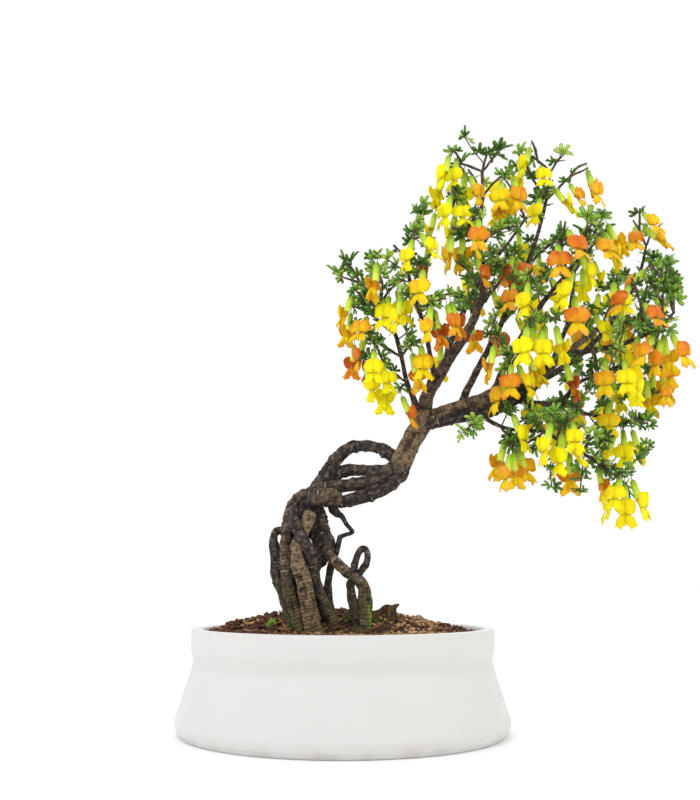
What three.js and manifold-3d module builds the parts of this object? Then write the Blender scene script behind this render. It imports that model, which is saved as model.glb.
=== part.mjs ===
// A flowering peashrub trained as a bonsai: braided roots and stems rise out of a low round
// pot, lean to the right and carry a crown of thorny twigs hung with yellow pea flowers.
// Millimetres, +Z up, the origin at the middle of the pot's flat underside, -Y the front.

import * as THREE from "three";
import Module from "manifold-3d";
import { mergeVertices } from "three/addons/utils/BufferGeometryUtils.js";

const wasm = await Module();
wasm.setup();

// Pot: a thrown drum with a straight collar, a waist and a skirt that swells to the foot
const RIM_RADIUS = 110;
const RIM_HEIGHT = 73.5;
const COLLAR_HEIGHT = 59;
const WAIST_RADIUS = 107.5;
const WAIST_HEIGHT = 51;
const BELLY_RADIUS = 121;
const BELLY_HEIGHT = 7;
const FOOT_RADIUS = 116;
const WALL = 8;
const FLOOR = 8;
const POT_SIDES = 32;
const DRAIN_RADIUS = 6;
const DRAIN_PLACE = 60;
const DRAINS = 3;

// Soil: fills the pot, mounds up behind the stems and is broken by lumps and grit
const SOIL_SIDES = 16;
const SOIL_EDGE_HEIGHT = 68.5;
const SOIL_MOUND = 15;
const SOIL_ROUGHNESS = 4;
const MOUND_CENTRE = [-4, 30];
const MOUND_SIDE_REACH = 96;
const MOUND_FRONT_REACH = 46;
const MOUND_BACK_REACH = 58;

// Bark chip standing in the soil behind the side root
const CHIP_PLACE = [31, 9];
const CHIP_BOTTOM = 66;
const CHIP_THICKNESS = 3.2;
const CHIP_TURN = 14;

// Clearances between pieces that touch in the real object
const GAP = 0.35;
const PLAY = 0.45;

// Shoots: a thin twig that forks once or twice, with hanging flowers or fans of leaves. Those
// of the crown's low right half, within the full side and top, carry the most.
const FULL_SIDE = 115;
const FULL_TOP = 340;
const TWIG_RADIUS = 1;
const TWIG_TIP_RADIUS = 0.9;
const TIP_CLEARANCE = 1.2;
const FOOT_SKIP = 0.3;
const FORK_SKIP = 0.2;
const FORK_RISE = 3;
const FORK_ROOT = 0.4;
const TWIG_SIDES = 3;
const TWIG_LIFT = 0.1;
const FORKS_AT = [0.45, 0.75];
const FORK_LENGTH = 0.72;
const FORK_TURNS = [42, -42, 65, -65, 25, -25, 88, -88];
const ATTEMPTS = 24;
const SHIFT = 0.05;

// Flower: a stalk, a tubular calyx, a banner that folds up in front of it in two round lobes,
// and wings that spread below the throat. Lengths count down from the stalk's root.
const STALK_ROOT = 0.28;
const STALK_RADIUS = 0.45;
const STALK_LENGTH = 6;
const CALYX_SHOULDER = 7.5;
const CALYX_RADIUS = 3.1;
const THROAT_RADIUS = 2;
const THROAT = 25.5;
const TUBE_FRONT = 0.6;
const TUBE_SIDE = 0.85;
const BANNER_ROOT = 1.3;
const BANNER = [[22.5, 3, 8.2], [17.4, 6, 5], [18.8, 6.6, 0]];
const WINGS = [[32, 6.6], [35.5, 3.2], [33, 0]];

// Leaf: four leaflets cut from one arched fan, on a short stalk, with a spine beside it
const LEAFLET_LENGTH = 10;
const LEAFLET_HALF = 2.2;
const LEAFLET_TURNS = [-78, -27, 27, 78];
const LEAF_STALK = 3;
const SPINE_LENGTH = 7;
const SPINE_ROOT = 0.45;

const COLOURS = {
  pot: "#e9e8e4",
  soil: "#4a3524",
  bark: "#54463a",
  chip: "#5b4630",
  leaves: "#3f6f2c",
  yellow: "#f3dc1e",
  golden: "#eda01f",
  rust: "#d9622b",
};

const rad = THREE.MathUtils.degToRad;
const vec = (point) => new THREE.Vector3(point[0], point[1], point[2]);

// A repeatable draw between 0 and 1 for piece n and trait m
function draw(n, m) {
  const value = Math.sin(n * 12.9898 + m * 78.233) * 43758.5453;
  return value - Math.floor(value);
}

// Turns a closed three.js geometry into a solid that can be joined and cut
function solidOf(geometry) {
  geometry.deleteAttribute("normal");
  geometry.deleteAttribute("uv");
  const merged = mergeVertices(geometry);
  const vertProperties = new Float32Array(merged.attributes.position.array);
  const triVerts = new Uint32Array(merged.index.array);
  return new wasm.Manifold(new wasm.Mesh({ numProp: 3, vertProperties, triVerts }));
}

// Joins overlapping solids into one body
function join(solids) {
  return wasm.Manifold.union(solids);
}

// Keeps the main body after a cut has left loose scraps
function mainBody(solid) {
  const bodies = solid.decompose();
  bodies.sort((a, b) => b.volume() - a.volume());
  return bodies[0];
}

function geometryOf(points, faces) {
  const geometry = new THREE.BufferGeometry().setFromPoints(points);
  geometry.setIndex(faces);
  return geometry;
}

function meshOf(name, solid, colour, roughness) {
  const { vertProperties, triVerts } = solid.getMesh();
  const geometry = new THREE.BufferGeometry();
  geometry.setAttribute("position", new THREE.BufferAttribute(vertProperties, 3));
  geometry.setIndex(new THREE.BufferAttribute(triVerts, 1));
  geometry.computeVertexNormals();
  const material = new THREE.MeshStandardMaterial({ color: colour, roughness, metalness: 0 });
  const mesh = new THREE.Mesh(geometry, material);
  mesh.name = name;
  return mesh;
}

// A closed tapered tube with a ring of points at each [x, y, z, radius] of its route
function tube(route, sides, grow = 0) {
  const centres = route.map(vec);
  const steps = centres.slice(1).map((point, i) => point.clone().sub(centres[i]).normalize());
  const tangents = centres.map((_, i) => {
    const before = steps[Math.max(i - 1, 0)];
    const after = steps[Math.min(i, steps.length - 1)];
    return before.clone().add(after).normalize();
  });
  const across = Math.abs(tangents[0].z) > 0.8 ? vec([1, 0, 0]) : vec([0, 0, 1]);
  const side = across.cross(tangents[0]).normalize();
  const points = [];
  const faces = [];
  centres.forEach((centre, i) => {
    if (i > 0) {
      side.applyQuaternion(new THREE.Quaternion().setFromUnitVectors(tangents[i - 1], tangents[i]));
    }
    const other = tangents[i].clone().cross(side);
    for (let k = 0; k < sides; k++) {
      const turn = (2 * Math.PI * k) / sides;
      const radius = route[i][3] + grow;
      const point = centre.clone().addScaledVector(side, radius * Math.cos(turn));
      points.push(point.addScaledVector(other, radius * Math.sin(turn)));
    }
  });
  for (let i = 0; i < route.length - 1; i++) {
    for (let k = 0; k < sides; k++) {
      const a = i * sides + k;
      const b = i * sides + ((k + 1) % sides);
      faces.push(a, b, b + sides, a, b + sides, a + sides);
    }
  }
  const last = (route.length - 1) * sides;
  for (let k = 1; k < sides - 1; k++) {
    faces.push(0, k + 1, k);
    faces.push(last, last + k, last + k + 1);
  }
  return solidOf(geometryOf(points, faces));
}

// A thin blade: an outline seen from above, domed to one point above it and one below
function blade(outline, above, below) {
  const points = [above, below, ...outline];
  const faces = [];
  outline.forEach((_, i) => {
    const here = i + 2;
    const next = ((i + 1) % outline.length) + 2;
    faces.push(0, here, next, 1, next, here);
  });
  return solidOf(geometryOf(points, faces));
}

// Pot

function makePot() {
  const profile = [
    [0, 0],
    [FOOT_RADIUS, 0],
    [BELLY_RADIUS - 1, 2],
    [BELLY_RADIUS, BELLY_HEIGHT],
    [BELLY_RADIUS - 1.5, 2 * BELLY_HEIGHT],
    [WAIST_RADIUS + 2.5, WAIST_HEIGHT - 10],
    [WAIST_RADIUS, WAIST_HEIGHT],
    [RIM_RADIUS, COLLAR_HEIGHT],
    [RIM_RADIUS, RIM_HEIGHT - 2],
    [RIM_RADIUS - 2, RIM_HEIGHT],
    [RIM_RADIUS - WALL + 2, RIM_HEIGHT],
    [RIM_RADIUS - WALL, RIM_HEIGHT - 2],
    [WAIST_RADIUS - WALL, WAIST_HEIGHT],
    [BELLY_RADIUS - WALL - 2, 2 * BELLY_HEIGHT],
    [FOOT_RADIUS - WALL, FLOOR],
    [0, FLOOR],
  ];
  const outline = profile.map(([radius, height]) => new THREE.Vector2(radius, height));
  const lathe = new THREE.LatheGeometry(outline, POT_SIDES);
  lathe.rotateX(Math.PI / 2);
  let pot = solidOf(lathe);
  for (let i = 0; i < DRAINS; i++) {
    const turn = (2 * Math.PI * (i + 0.5)) / DRAINS;
    const drain = new THREE.CylinderGeometry(DRAIN_RADIUS, DRAIN_RADIUS, 3 * FLOOR, 8);
    drain.rotateX(Math.PI / 2);
    drain.translate(DRAIN_PLACE * Math.cos(turn), DRAIN_PLACE * Math.sin(turn), FLOOR / 2);
    pot = pot.subtract(solidOf(drain));
  }
  return pot;
}

// Stems and roots: each route is a list of [x, y, z, radius], from the soil upwards

const STEMS = {
  front_stem: [[-18, -13, 62, 6.4], [-22, -15, 76, 6.2], [-25, -16, 90, 5.8],
    [-28, -18, 107, 5.5], [-32, -18, 119, 5.2], [-33, -16, 129, 4.9], [-31, -12, 138, 4.8],
    [-27, -9, 148, 4.8], [-24, -8, 158, 5]],
  left_loop: [[-31, -3, 62, 5], [-40, -2, 87, 4.7], [-45, -1, 100, 4.4], [-49, 0, 111, 4.3],
    [-50, 1, 123, 4.2], [-51, 1, 130, 3.9], [-52, 2, 136, 3.1], [-51, 3, 142, 3],
    [-46, 3, 144, 3.1], [-41, 2, 137, 3.4]],
  left_stem: [[-27, -8, 62, 5], [-36, -8, 87, 4.6], [-39, -8, 99, 4.4], [-41, -7, 111, 4.4],
    [-42, -5, 123, 4.7], [-42.5, -3, 133, 4.4], [-41, -2, 144, 4.5], [-40, 0, 155, 4.8],
    [-35, 0, 165, 5], [-26, 1, 173, 5.2]],
  main_stem: [[-22, 4, 62, 8.2], [-27, 4, 83, 7.6], [-30, 4, 104, 7.2], [-32, 4, 125, 7],
    [-32, 3, 144, 7], [-29, 2, 161, 6.8], [-20, 1, 171, 6.8], [-9, 1, 174, 6]],
  right_stem: [[-8, 5, 62, 6.4], [-12, 5, 79, 6], [-15, 5, 89, 5.8], [-20, 5, 99, 5.6],
    [-23, 5, 109, 5.6], [-22, 4, 119, 6.6], [-16, 4, 127, 7.6], [-15, 4, 135, 8.2],
    [-18, 5, 144, 8.2], [-19, 5, 153, 7.2], [-21, 3, 163, 5.8]],
  inner_stem: [[-4, -6, 62, 4.4], [-7, -6, 76, 4.3], [-14, -8, 90, 4.2], [-20, -9, 105, 4.2],
    [-22, -12, 116, 4.4], [-23, -17, 125, 4.4], [-27, -20, 133, 4.2], [-32, -16, 142, 4.2],
    [-37, -9, 152, 4.4], [-38, -5, 161, 4.4]],
  side_root: [[-14, 0, 131, 4], [-10, -6, 126, 3.9], [-4, -11, 119, 3.8], [3, -12, 113, 3.8],
    [11, -11, 108, 4], [15, -9, 102, 4.6], [16, -8, 94, 5], [16, -7, 86, 5.2], [14, -6, 73, 5.8],
    [13, -6, 62, 6.2]],
  small_loop: [[4, -12, 111, 2.8], [8, -13, 115, 2.6], [9, -13, 120, 2.4], [12, -12, 128, 2.4],
    [16, -11, 130, 2.4], [18, -10, 125, 2.4], [16, -9, 118, 2.5], [11, -9, 111, 2.6],
    [6, -10, 106, 2.8], [6, -9, 97, 3.2], [8, -8, 87, 3.6], [11, -7, 76, 4], [12, -7, 66, 4.2]],
  thin_root: [[-2, 6, 141, 1.7], [-5, 6, 129, 2.2], [-8, 5, 121, 2.6], [-10, 4, 113, 2.7],
    [-11, 4, 105, 2.8], [-11, 4, 95, 3.2], [-8, 4, 78, 3.6], [-7, 4, 66, 3.8]],
  dead_twig: [[-10, 0, 170, 3.6], [-7, 3, 159, 3.4], [-1, 3, 154, 2], [3, 5, 148, 1.5],
    [7, 6, 143, 1.6], [2, 6, 141, 1.5], [-3, 6, 139, 1.8]],
  upper_arch: [[-22, 3, 170, 6], [-19, 3, 175, 6], [-15, 5, 182, 5.8], [-9, 7, 193, 5.2],
    [-2, 9, 202, 4.7], [8, 10, 208, 4.5], [20, 8, 208, 4.4], [30, 4, 205, 4.5],
    [41, 1, 196, 4.8]],
  second_arch: [[-16, 5, 176, 5], [-6, 9, 186, 4.6], [3, 11, 190, 4.4], [14, 9, 190, 4.3],
    [25, 5, 189, 4.3], [38, 1, 189, 4.6]],
  main_bend: [[-28, -3, 168, 5], [-18, -2, 174, 5.2], [-7, -1, 176, 5.2], [4, 0, 177.5, 5],
    [14, 0, 179, 5.2], [24, 0, 182, 5.6], [34, 0, 187, 6.6], [42, 0, 194, 7]],
  low_bend: [[-18, -5, 166, 4.6], [-7, -5, 165, 4.6], [4, -4, 166, 5], [14, -3, 169, 5.3],
    [24, -2, 172, 5.3], [33, -1, 177, 5.8], [41, 0, 185, 6.6], [46, 0, 194, 7]],
  burl: [[-26, -7, 168, 5.4], [-18, -10, 168, 6.6], [-10, -10, 168, 6.4], [-1, -7, 166, 5]],
  trunk: [[34, 0, 185, 6.6], [40, 0, 189, 8], [45, 0, 197, 8], [49, 0, 206, 7.6],
    [55, 0, 217, 7.8], [61, 0, 227, 8.2], [64, 0, 236, 7]],
  limb_rib: [[56, -2, 221, 4.4], [72, -5, 225, 4.8], [86, -7, 228.5, 4.9], [100, -9, 231, 4.9],
    [113, -11, 234, 4.9], [126, -12, 239.5, 4.5], [138, -12, 246, 3.8], [150, -11, 257, 3]],
};

// Limbs of the crown, from where each leaves its parent to its tip

const LIMBS = {
  left_branch: [[58, -1, 228, 3.6], [53, -5, 243, 2.2], [48, -8, 255, 1.7], [44, -11, 274, 1.6],
    [39, -14, 291, 1.5], [32, -16, 303, 1.3], [29, -16, 316, 1.1], [30, -14, 330, 0.9]],
  leader: [[62, 1, 231, 5.8], [64, 3, 245, 5], [71, 5, 258, 4.7], [78, 7, 270, 4.3],
    [87, 9, 284, 3.9], [96, 11, 297, 3.5], [104, 13, 313, 3.1], [110, 14, 330, 2.7],
    [111, 13, 350, 2.4], [108, 11, 367, 2.1], [109, 9, 388, 1.7], [111, 7, 409, 1.4],
    [111, 5, 429, 1.1], [115, 4, 444, 0.9]],
  great_limb: [[60, 0, 227, 7.4], [72, -2, 229, 7.2], [84, -4, 233, 7.1], [96, -6, 237, 6.8],
    [108, -8, 241, 6.4], [122, -10, 246, 5.8], [137, -11, 254, 4.8], [152, -11, 263, 3.8],
    [167, -9, 275, 3], [182, -7, 287, 2.4], [197, -5, 298, 1.8], [212, -3, 309, 1.3]],
  crown_limb: [[88, -2, 235, 3.4], [94, 4, 249, 2.8], [103, 10, 266, 2.6], [113, 18, 285, 2.4],
    [125, 26, 308, 2.2], [138, 32, 333, 2], [150, 35, 362, 1.8], [160, 35, 389, 1.5],
    [167, 33, 416, 1.2], [171, 31, 440, 1]],
  front_limb: [[110, -8, 240, 3.2], [119, -18, 261, 2.4], [126, -28, 274, 2.2],
    [137, -38, 294, 2], [149, -46, 311, 1.7], [163, -50, 327, 1.4], [177, -50, 345, 1]],
  back_limb: [[138, -10, 253, 3.2], [157, 10, 262, 2.8], [179, 30, 277, 2.4],
    [203, 46, 297, 2.2], [223, 57, 319, 1.9], [239, 62, 341, 1.6], [250, 62, 363, 1.3],
    [255, 58, 385, 1]],
  right_limb: [[167, -9, 275, 2.6], [184, -22, 276, 2.1], [203, -31, 278, 1.8],
    [220, -36, 284, 1.5], [234, -38, 292, 1.2], [243, -38, 301, 0.9]],
  low_limb: [[122, -9, 244, 3.2], [137, -2, 241, 2.4], [155, 5, 240, 2.1], [169, 10, 241, 1.9],
    [185, 14, 235, 1.6], [202, 17, 232, 1.3], [216, 19, 229, 0.9]],
  rising_limb: [[168, 10, 240, 1.8], [181, 18, 257, 1.6], [196, 25, 265, 1.4],
    [213, 29, 265, 1.2], [227, 31, 261, 0.9]],
  cascade: [[95, -7, 234, 2.4], [105, -16, 226, 1.7], [116, -22, 219, 1.4], [129, -27, 215, 1.4],
    [145, -31, 214, 1.4], [155, -33, 208, 1.4], [165, -33, 202, 1.3], [176, -32, 196, 1.2],
    [186, -30, 190, 1.1], [196, -27, 183, 1], [206, -24, 176, 0.8]],
  back_leader: [[79, 8, 271, 3], [85, 28, 293, 2.4], [95, 46, 317, 2.2], [108, 58, 345, 1.9],
    [125, 65, 371, 1.6], [142, 66, 393, 1.2], [155, 64, 411, 0.9]],
  left_leader: [[71, 5, 258, 2.6], [66, -12, 273, 1.8], [62, -26, 287, 1.5], [56, -37, 302, 1.4],
    [50, -43, 320, 1.2], [47, -44, 338, 1], [50, -42, 355, 0.8]],
  far_back: [[99, 12, 303, 2.6], [109, 36, 323, 2.1], [124, 58, 346, 1.8], [143, 78, 366, 1.5],
    [163, 92, 380, 1.1]],
  back_right: [[157, 10, 262, 2.6], [171, 36, 288, 2], [185, 58, 315, 1.7], [194, 74, 344, 1.4],
    [200, 82, 371, 1]],
};

// Thin stems have fewer sides than thick ones
function stemSides(route) {
  const thickest = Math.max(...route.map((point) => point[3]));
  return [4, 5, 6, 7][[2.8, 5.2, 8.5].filter((radius) => thickest > radius).length];
}

function makeTrunk() {
  const stems = Object.values(STEMS).map((route) => tube(route, stemSides(route)));
  const limbs = Object.values(LIMBS).map((route) => tube(route, stemSides(route)));
  return mainBody(join([...stems, ...limbs]));
}

// Soil, with a plain hole for each foot that stands in it

const FEET = ["front_stem", "left_loop", "left_stem", "main_stem", "right_stem", "inner_stem",
  "side_root", "small_loop", "thin_root"];

// The route of a stem with its foot a little further down
function deepened(route) {
  const footFirst = route[0][2] < route[route.length - 1][2];
  const [foot, next] = footFirst ? [route[0], route[1]] : route.slice(-2).reverse();
  const lower = vec(foot).add(vec(foot).sub(vec(next)).setLength(1));
  const end = [lower.x, lower.y, lower.z, foot[3]];
  return footFirst ? [end, ...route.slice(1)] : [...route.slice(0, -1), end];
}

function soilHeight(x, y, n, m) {
  const side = (x - MOUND_CENTRE[0]) / MOUND_SIDE_REACH;
  const reach = y < MOUND_CENTRE[1] ? MOUND_FRONT_REACH : MOUND_BACK_REACH;
  const mound = Math.max(0, 1 - side ** 2 - ((y - MOUND_CENTRE[1]) / reach) ** 2);
  return SOIL_EDGE_HEIGHT + SOIL_MOUND * mound + SOIL_ROUGHNESS * (draw(n, m) - 0.5);
}

function makeSoil(chipHole) {
  const topRings = [16, 32, 50, 68, 86];
  const sideRings = [
    [WAIST_RADIUS - WALL + 1.5 - GAP, SOIL_EDGE_HEIGHT - 1],
    [WAIST_RADIUS - WALL - GAP, WAIST_HEIGHT],
    [BELLY_RADIUS - WALL - 2 - GAP, 2 * BELLY_HEIGHT],
    [FOOT_RADIUS - WALL - GAP, FLOOR + GAP],
  ];
  const points = [vec([0, 0, soilHeight(0, 0, 0, 0)])];
  const ring = (radius, heightAt) => {
    for (let k = 0; k < SOIL_SIDES; k++) {
      const turn = (2 * Math.PI * k) / SOIL_SIDES;
      const x = radius * Math.cos(turn);
      const y = radius * Math.sin(turn);
      points.push(vec([x, y, heightAt(x, y, k)]));
    }
  };
  topRings.forEach((radius, i) => ring(radius, (x, y, k) => soilHeight(x, y, i + 1, k)));
  sideRings.forEach(([radius, height]) => ring(radius, () => height));
  points.push(vec([0, 0, FLOOR + GAP]));
  const rings = topRings.length + sideRings.length;
  const faces = [];
  for (let k = 0; k < SOIL_SIDES; k++) {
    const next = (k + 1) % SOIL_SIDES;
    faces.push(0, 1 + k, 1 + next);
    for (let i = 0; i < rings - 1; i++) {
      const a = 1 + i * SOIL_SIDES + k;
      const b = 1 + i * SOIL_SIDES + next;
      faces.push(a, a + SOIL_SIDES, b, b, a + SOIL_SIDES, b + SOIL_SIDES);
    }
    const lowest = 1 + (rings - 1) * SOIL_SIDES;
    faces.push(lowest + next, lowest + k, points.length - 1);
  }
  let soil = solidOf(geometryOf(points, faces));
  for (const foot of FEET) {
    soil = soil.subtract(tube(deepened(STEMS[foot]), stemSides(STEMS[foot]), PLAY));
  }
  return mainBody(soil.subtract(chipHole));
}

// Bark chip: a splinter of bark with a broken upper edge

function chipSolid(grow) {
  const outline = [
    [-11 - grow, -grow], [12 + grow, -grow], [12 + grow, 11], [9.5, 15], [8.5, 20],
    [11.5, 24 + grow], [5, 23.2 + grow], [0.5, 23.8 + grow], [-4, 20.5], [-11 - grow, 18.5],
  ];
  const shape = new THREE.Shape(outline.map(([x, y]) => new THREE.Vector2(x, y)));
  const depth = CHIP_THICKNESS + 2 * grow;
  const chip = new THREE.ExtrudeGeometry(shape, { depth, bevelEnabled: false });
  chip.translate(0, 0, -depth / 2);
  chip.rotateX(Math.PI / 2);
  chip.rotateZ(rad(CHIP_TURN));
  chip.translate(CHIP_PLACE[0], CHIP_PLACE[1], CHIP_BOTTOM);
  return solidOf(chip);
}

// Shoots: the limb each leaves, the point of its route, the tip, and the flowers' colour

const FLOWER_SHOOTS = [
  ["left_branch", 4, [4, -20, 312], "golden"],
  ["left_branch", 3, [8, -4, 290], "rust"],
  ["left_branch", 2, [14, -24, 270], "yellow"],
  ["left_branch", 3, [51, -28, 279], "golden"],
  ["left_branch", 6, [41, -28, 326], "yellow"],
  ["left_leader", 6, [52, -50, 358], "yellow"],
  ["left_leader", 4, [59, -54, 334], "golden"],
  ["left_leader", 3, [75, -48, 309], "rust"],
  ["leader", 12, [76, -8, 429], "yellow"],
  ["leader", 10, [71, -14, 392], "yellow"],
  ["leader", 9, [82, -30, 369], "golden"],
  ["leader", 11, [124, -14, 417], "golden"],
  ["back_leader", 6, [143, 76, 441], "yellow"],
  ["rising_limb", 2, [220, 8, 267], "yellow"],
  ["crown_limb", 9, [148, 22, 451], "yellow"],
  ["crown_limb", 8, [201, 26, 441], "golden"],
  ["crown_limb", 7, [160, 14, 416], "yellow"],
  ["crown_limb", 6, [125, 14, 358], "rust"],
  ["crown_limb", 4, [146, 6, 323], "yellow"],
  ["front_limb", 6, [189, -58, 363], "golden"],
  ["front_limb", 5, [153, -64, 351], "rust"],
  ["front_limb", 3, [140, -64, 286], "yellow"],
  ["back_limb", 7, [242, 48, 404], "golden"],
  ["back_limb", 5, [208, 40, 343], "yellow"],
  ["back_limb", 4, [246, 86, 319], "golden"],
  ["right_limb", 5, [242, -18, 333], "golden"],
  ["right_limb", 4, [230, -50, 283], "golden"],
  ["right_limb", 3, [216, -48, 309], "rust"],
  ["rising_limb", 4, [252, 24, 273], "golden"],
  ["low_limb", 6, [214, 6, 222], "yellow"],
  ["cascade", 2, [123, -34, 203], "golden"],
  ["cascade", 5, [155, -52, 215], "yellow"],
  ["cascade", 9, [201, -38, 180], "yellow"],
  ["great_limb", 5, [122, -42, 267], "golden"],
  ["far_back", 4, [176, 112, 403], "golden"],
  ["back_right", 4, [219, 96, 389], "yellow"],
];

const LEAF_SHOOTS = [
  ["left_branch", 7, [25, -6, 345]],
  ["left_branch", 6, [-2, -20, 334]],
  ["left_leader", 6, [61, -36, 378]],
  ["leader", 12, [124, -4, 441]],
  ["leader", 11, [94, 18, 431]],
  ["leader", 9, [119, -22, 369]],
  ["crown_limb", 9, [178, 20, 448]],
  ["crown_limb", 8, [148, 44, 449]],
  ["front_limb", 6, [174, -74, 358]],
  ["back_limb", 7, [262, 60, 397]],
  ["back_limb", 6, [279, 78, 377]],
  ["back_limb", 3, [213, 66, 268]],
  ["back_leader", 6, [166, 54, 424]],
  ["far_back", 4, [189, 86, 400]],
  ["back_right", 4, [223, 70, 398]],
  ["right_limb", 4, [243, -16, 322]],
  ["cascade", 1, [88, -28, 213]],
  ["low_limb", 6, [239, 26, 228]],
  ["rising_limb", 4, [247, 42, 252]],
  ["cascade", 4, [140, -16, 202]],
];

// Room: what already fills the crown, as rounded rods, so that each new piece finds a free place

const room = [];

// Shortest distance between the rods a-b and c-d
function rodDistance(a, b, c, d) {
  const u = b.clone().sub(a);
  const v = d.clone().sub(c);
  const w = a.clone().sub(c);
  const uu = u.dot(u);
  const vv = v.dot(v);
  const uv = u.dot(v);
  const uw = u.dot(w);
  const vw = v.dot(w);
  const clamp = (value) => Math.min(1, Math.max(0, value));
  const denominator = uu * vv - uv * uv;
  let s = denominator > 1e-9 ? clamp((uv * vw - vv * uw) / denominator) : 0;
  const t = clamp((uv * s + vw) / vv);
  s = clamp((uv * t - uw) / uu);
  return w.addScaledVector(u, s).addScaledVector(v, -t).length();
}

function isFree(rods, owner) {
  return rods.every((rod) => room.every((other) => {
    if (rod.twig && other.owner === owner) {
      return true;
    }
    const reach = rod.radius + other.radius + GAP;
    return rodDistance(rod.from, rod.to, other.from, other.to) > reach;
  }));
}

function fill(rods, owner) {
  rods.forEach((rod) => room.push({ ...rod, owner }));
}

for (const route of Object.values(LIMBS)) {
  for (let i = 0; i < route.length - 1; i++) {
    room.push({ from: vec(route[i]), to: vec(route[i + 1]), radius: route[i][3], owner: "wood" });
  }
}

// Twigs

function twigRods(points, skip) {
  const start = points[0].clone().lerp(points[1], skip);
  return [
    { from: start, to: points[1], radius: TWIG_RADIUS, twig: true },
    { from: points[1], to: points[2], radius: TWIG_RADIUS, twig: true },
  ];
}

function twigPoint(points, along) {
  const scaled = along * 2;
  const i = scaled < 1 ? 0 : 1;
  return points[i].clone().lerp(points[i + 1], scaled - i);
}

// A twig rises in a slight arch from its foot to its tip
function twigPoints(foot, tip) {
  const middle = foot.clone().lerp(tip, 0.5);
  middle.z += TWIG_LIFT * foot.distanceTo(tip);
  return [foot, middle, tip];
}

// Where a twig starts: just clear of the limb, whatever the angle between them
function twigFoot(limb, at, tip) {
  const centre = vec(limb[at]);
  const radius = limb[at][3];
  const way = tip.clone().sub(centre).normalize();
  if (at === limb.length - 1) {
    return centre.addScaledVector(way, PLAY + TIP_CLEARANCE * radius);
  }
  const along = vec(limb[at + 1]).sub(vec(limb[at - 1])).normalize();
  const lean = Math.abs(way.dot(along));
  const rise = Math.max(0.5, Math.sqrt(1 - lean * lean));
  return centre.addScaledVector(way, (radius + PLAY + TWIG_RADIUS * lean) / rise);
}

function forkTip(foot, fork, tip, turn) {
  const way = tip.clone().sub(foot).multiplyScalar(FORK_LENGTH);
  way.applyAxisAngle(vec([0, 0, 1]), rad(turn));
  return fork.clone().add(way).add(vec([0, 0, FORK_RISE]));
}

// The main twig, and a side twig at each fork where one has room. The second fork turns to the
// other side.
function makeShoot(row, owner, forks) {
  const tip = vec(row[2]);
  const foot = twigFoot(LIMBS[row[0]], row[1], tip);
  const main = twigPoints(foot, tip);
  const twigs = [main];
  fill(twigRods(main, FOOT_SKIP), owner);
  FORKS_AT.slice(0, forks).forEach((at, i) => {
    const fork = twigPoint(main, at);
    const sides = FORK_TURNS.map((turn) => (i ? -turn : turn))
      .map((turn) => twigPoints(fork, forkTip(foot, fork, tip, turn)));
    const side = sides.find((points) => isFree(twigRods(points, FORK_SKIP), owner));
    if (side) {
      fill(twigRods(side, FORK_SKIP), owner);
      twigs.push(side);
    }
  });
  return twigs;
}

function twigSolid(points, i) {
  const radii = [i > 0 ? FORK_ROOT : TWIG_RADIUS, (TWIG_RADIUS + TWIG_TIP_RADIUS) / 2, TWIG_TIP_RADIUS];
  const route = points.map((point, i) => [point.x, point.y, point.z, radii[i]]);
  return tube(route, TWIG_SIDES);
}

// Flowers

function flowerPose(root, outward, seed, attempt) {
  const turn = 2 * Math.PI * (draw(seed, 1) * 0.2 + attempt * 0.137) * (attempt % 2 ? 1 : -1);
  const side = outward.clone().applyAxisAngle(vec([0, 0, 1]), turn);
  const lean = 0.08 + 0.25 * draw(seed, 2) + 0.03 * attempt;
  const down = side.clone().multiplyScalar(lean).add(vec([0, 0, -1])).normalize();
  const front = side.clone().addScaledVector(down, -side.dot(down)).normalize();
  const across = down.clone().cross(front);
  const size = 0.9 + 0.15 * draw(seed, 3);
  return { root, down, front, across, size };
}

// A point of the flower: so far down its axis, out to its front, and across it
function flowerPoint(pose, down, front, across) {
  return pose.root.clone()
    .addScaledVector(pose.down, down * pose.size)
    .addScaledVector(pose.front, front * pose.size)
    .addScaledVector(pose.across, across * pose.size);
}

function flowerRods(pose) {
  return [
    { from: flowerPoint(pose, 5, 0, 0), to: flowerPoint(pose, 24, 0, 0), radius: 2.9 },
    { from: flowerPoint(pose, 21.4, 3.6, -3.6), to: flowerPoint(pose, 21.4, 3.6, 3.6), radius: 4.6 },
    { from: flowerPoint(pose, 31, 0, -2.6), to: flowerPoint(pose, 31, 0, 2.6), radius: 4 },
  ];
}

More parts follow.
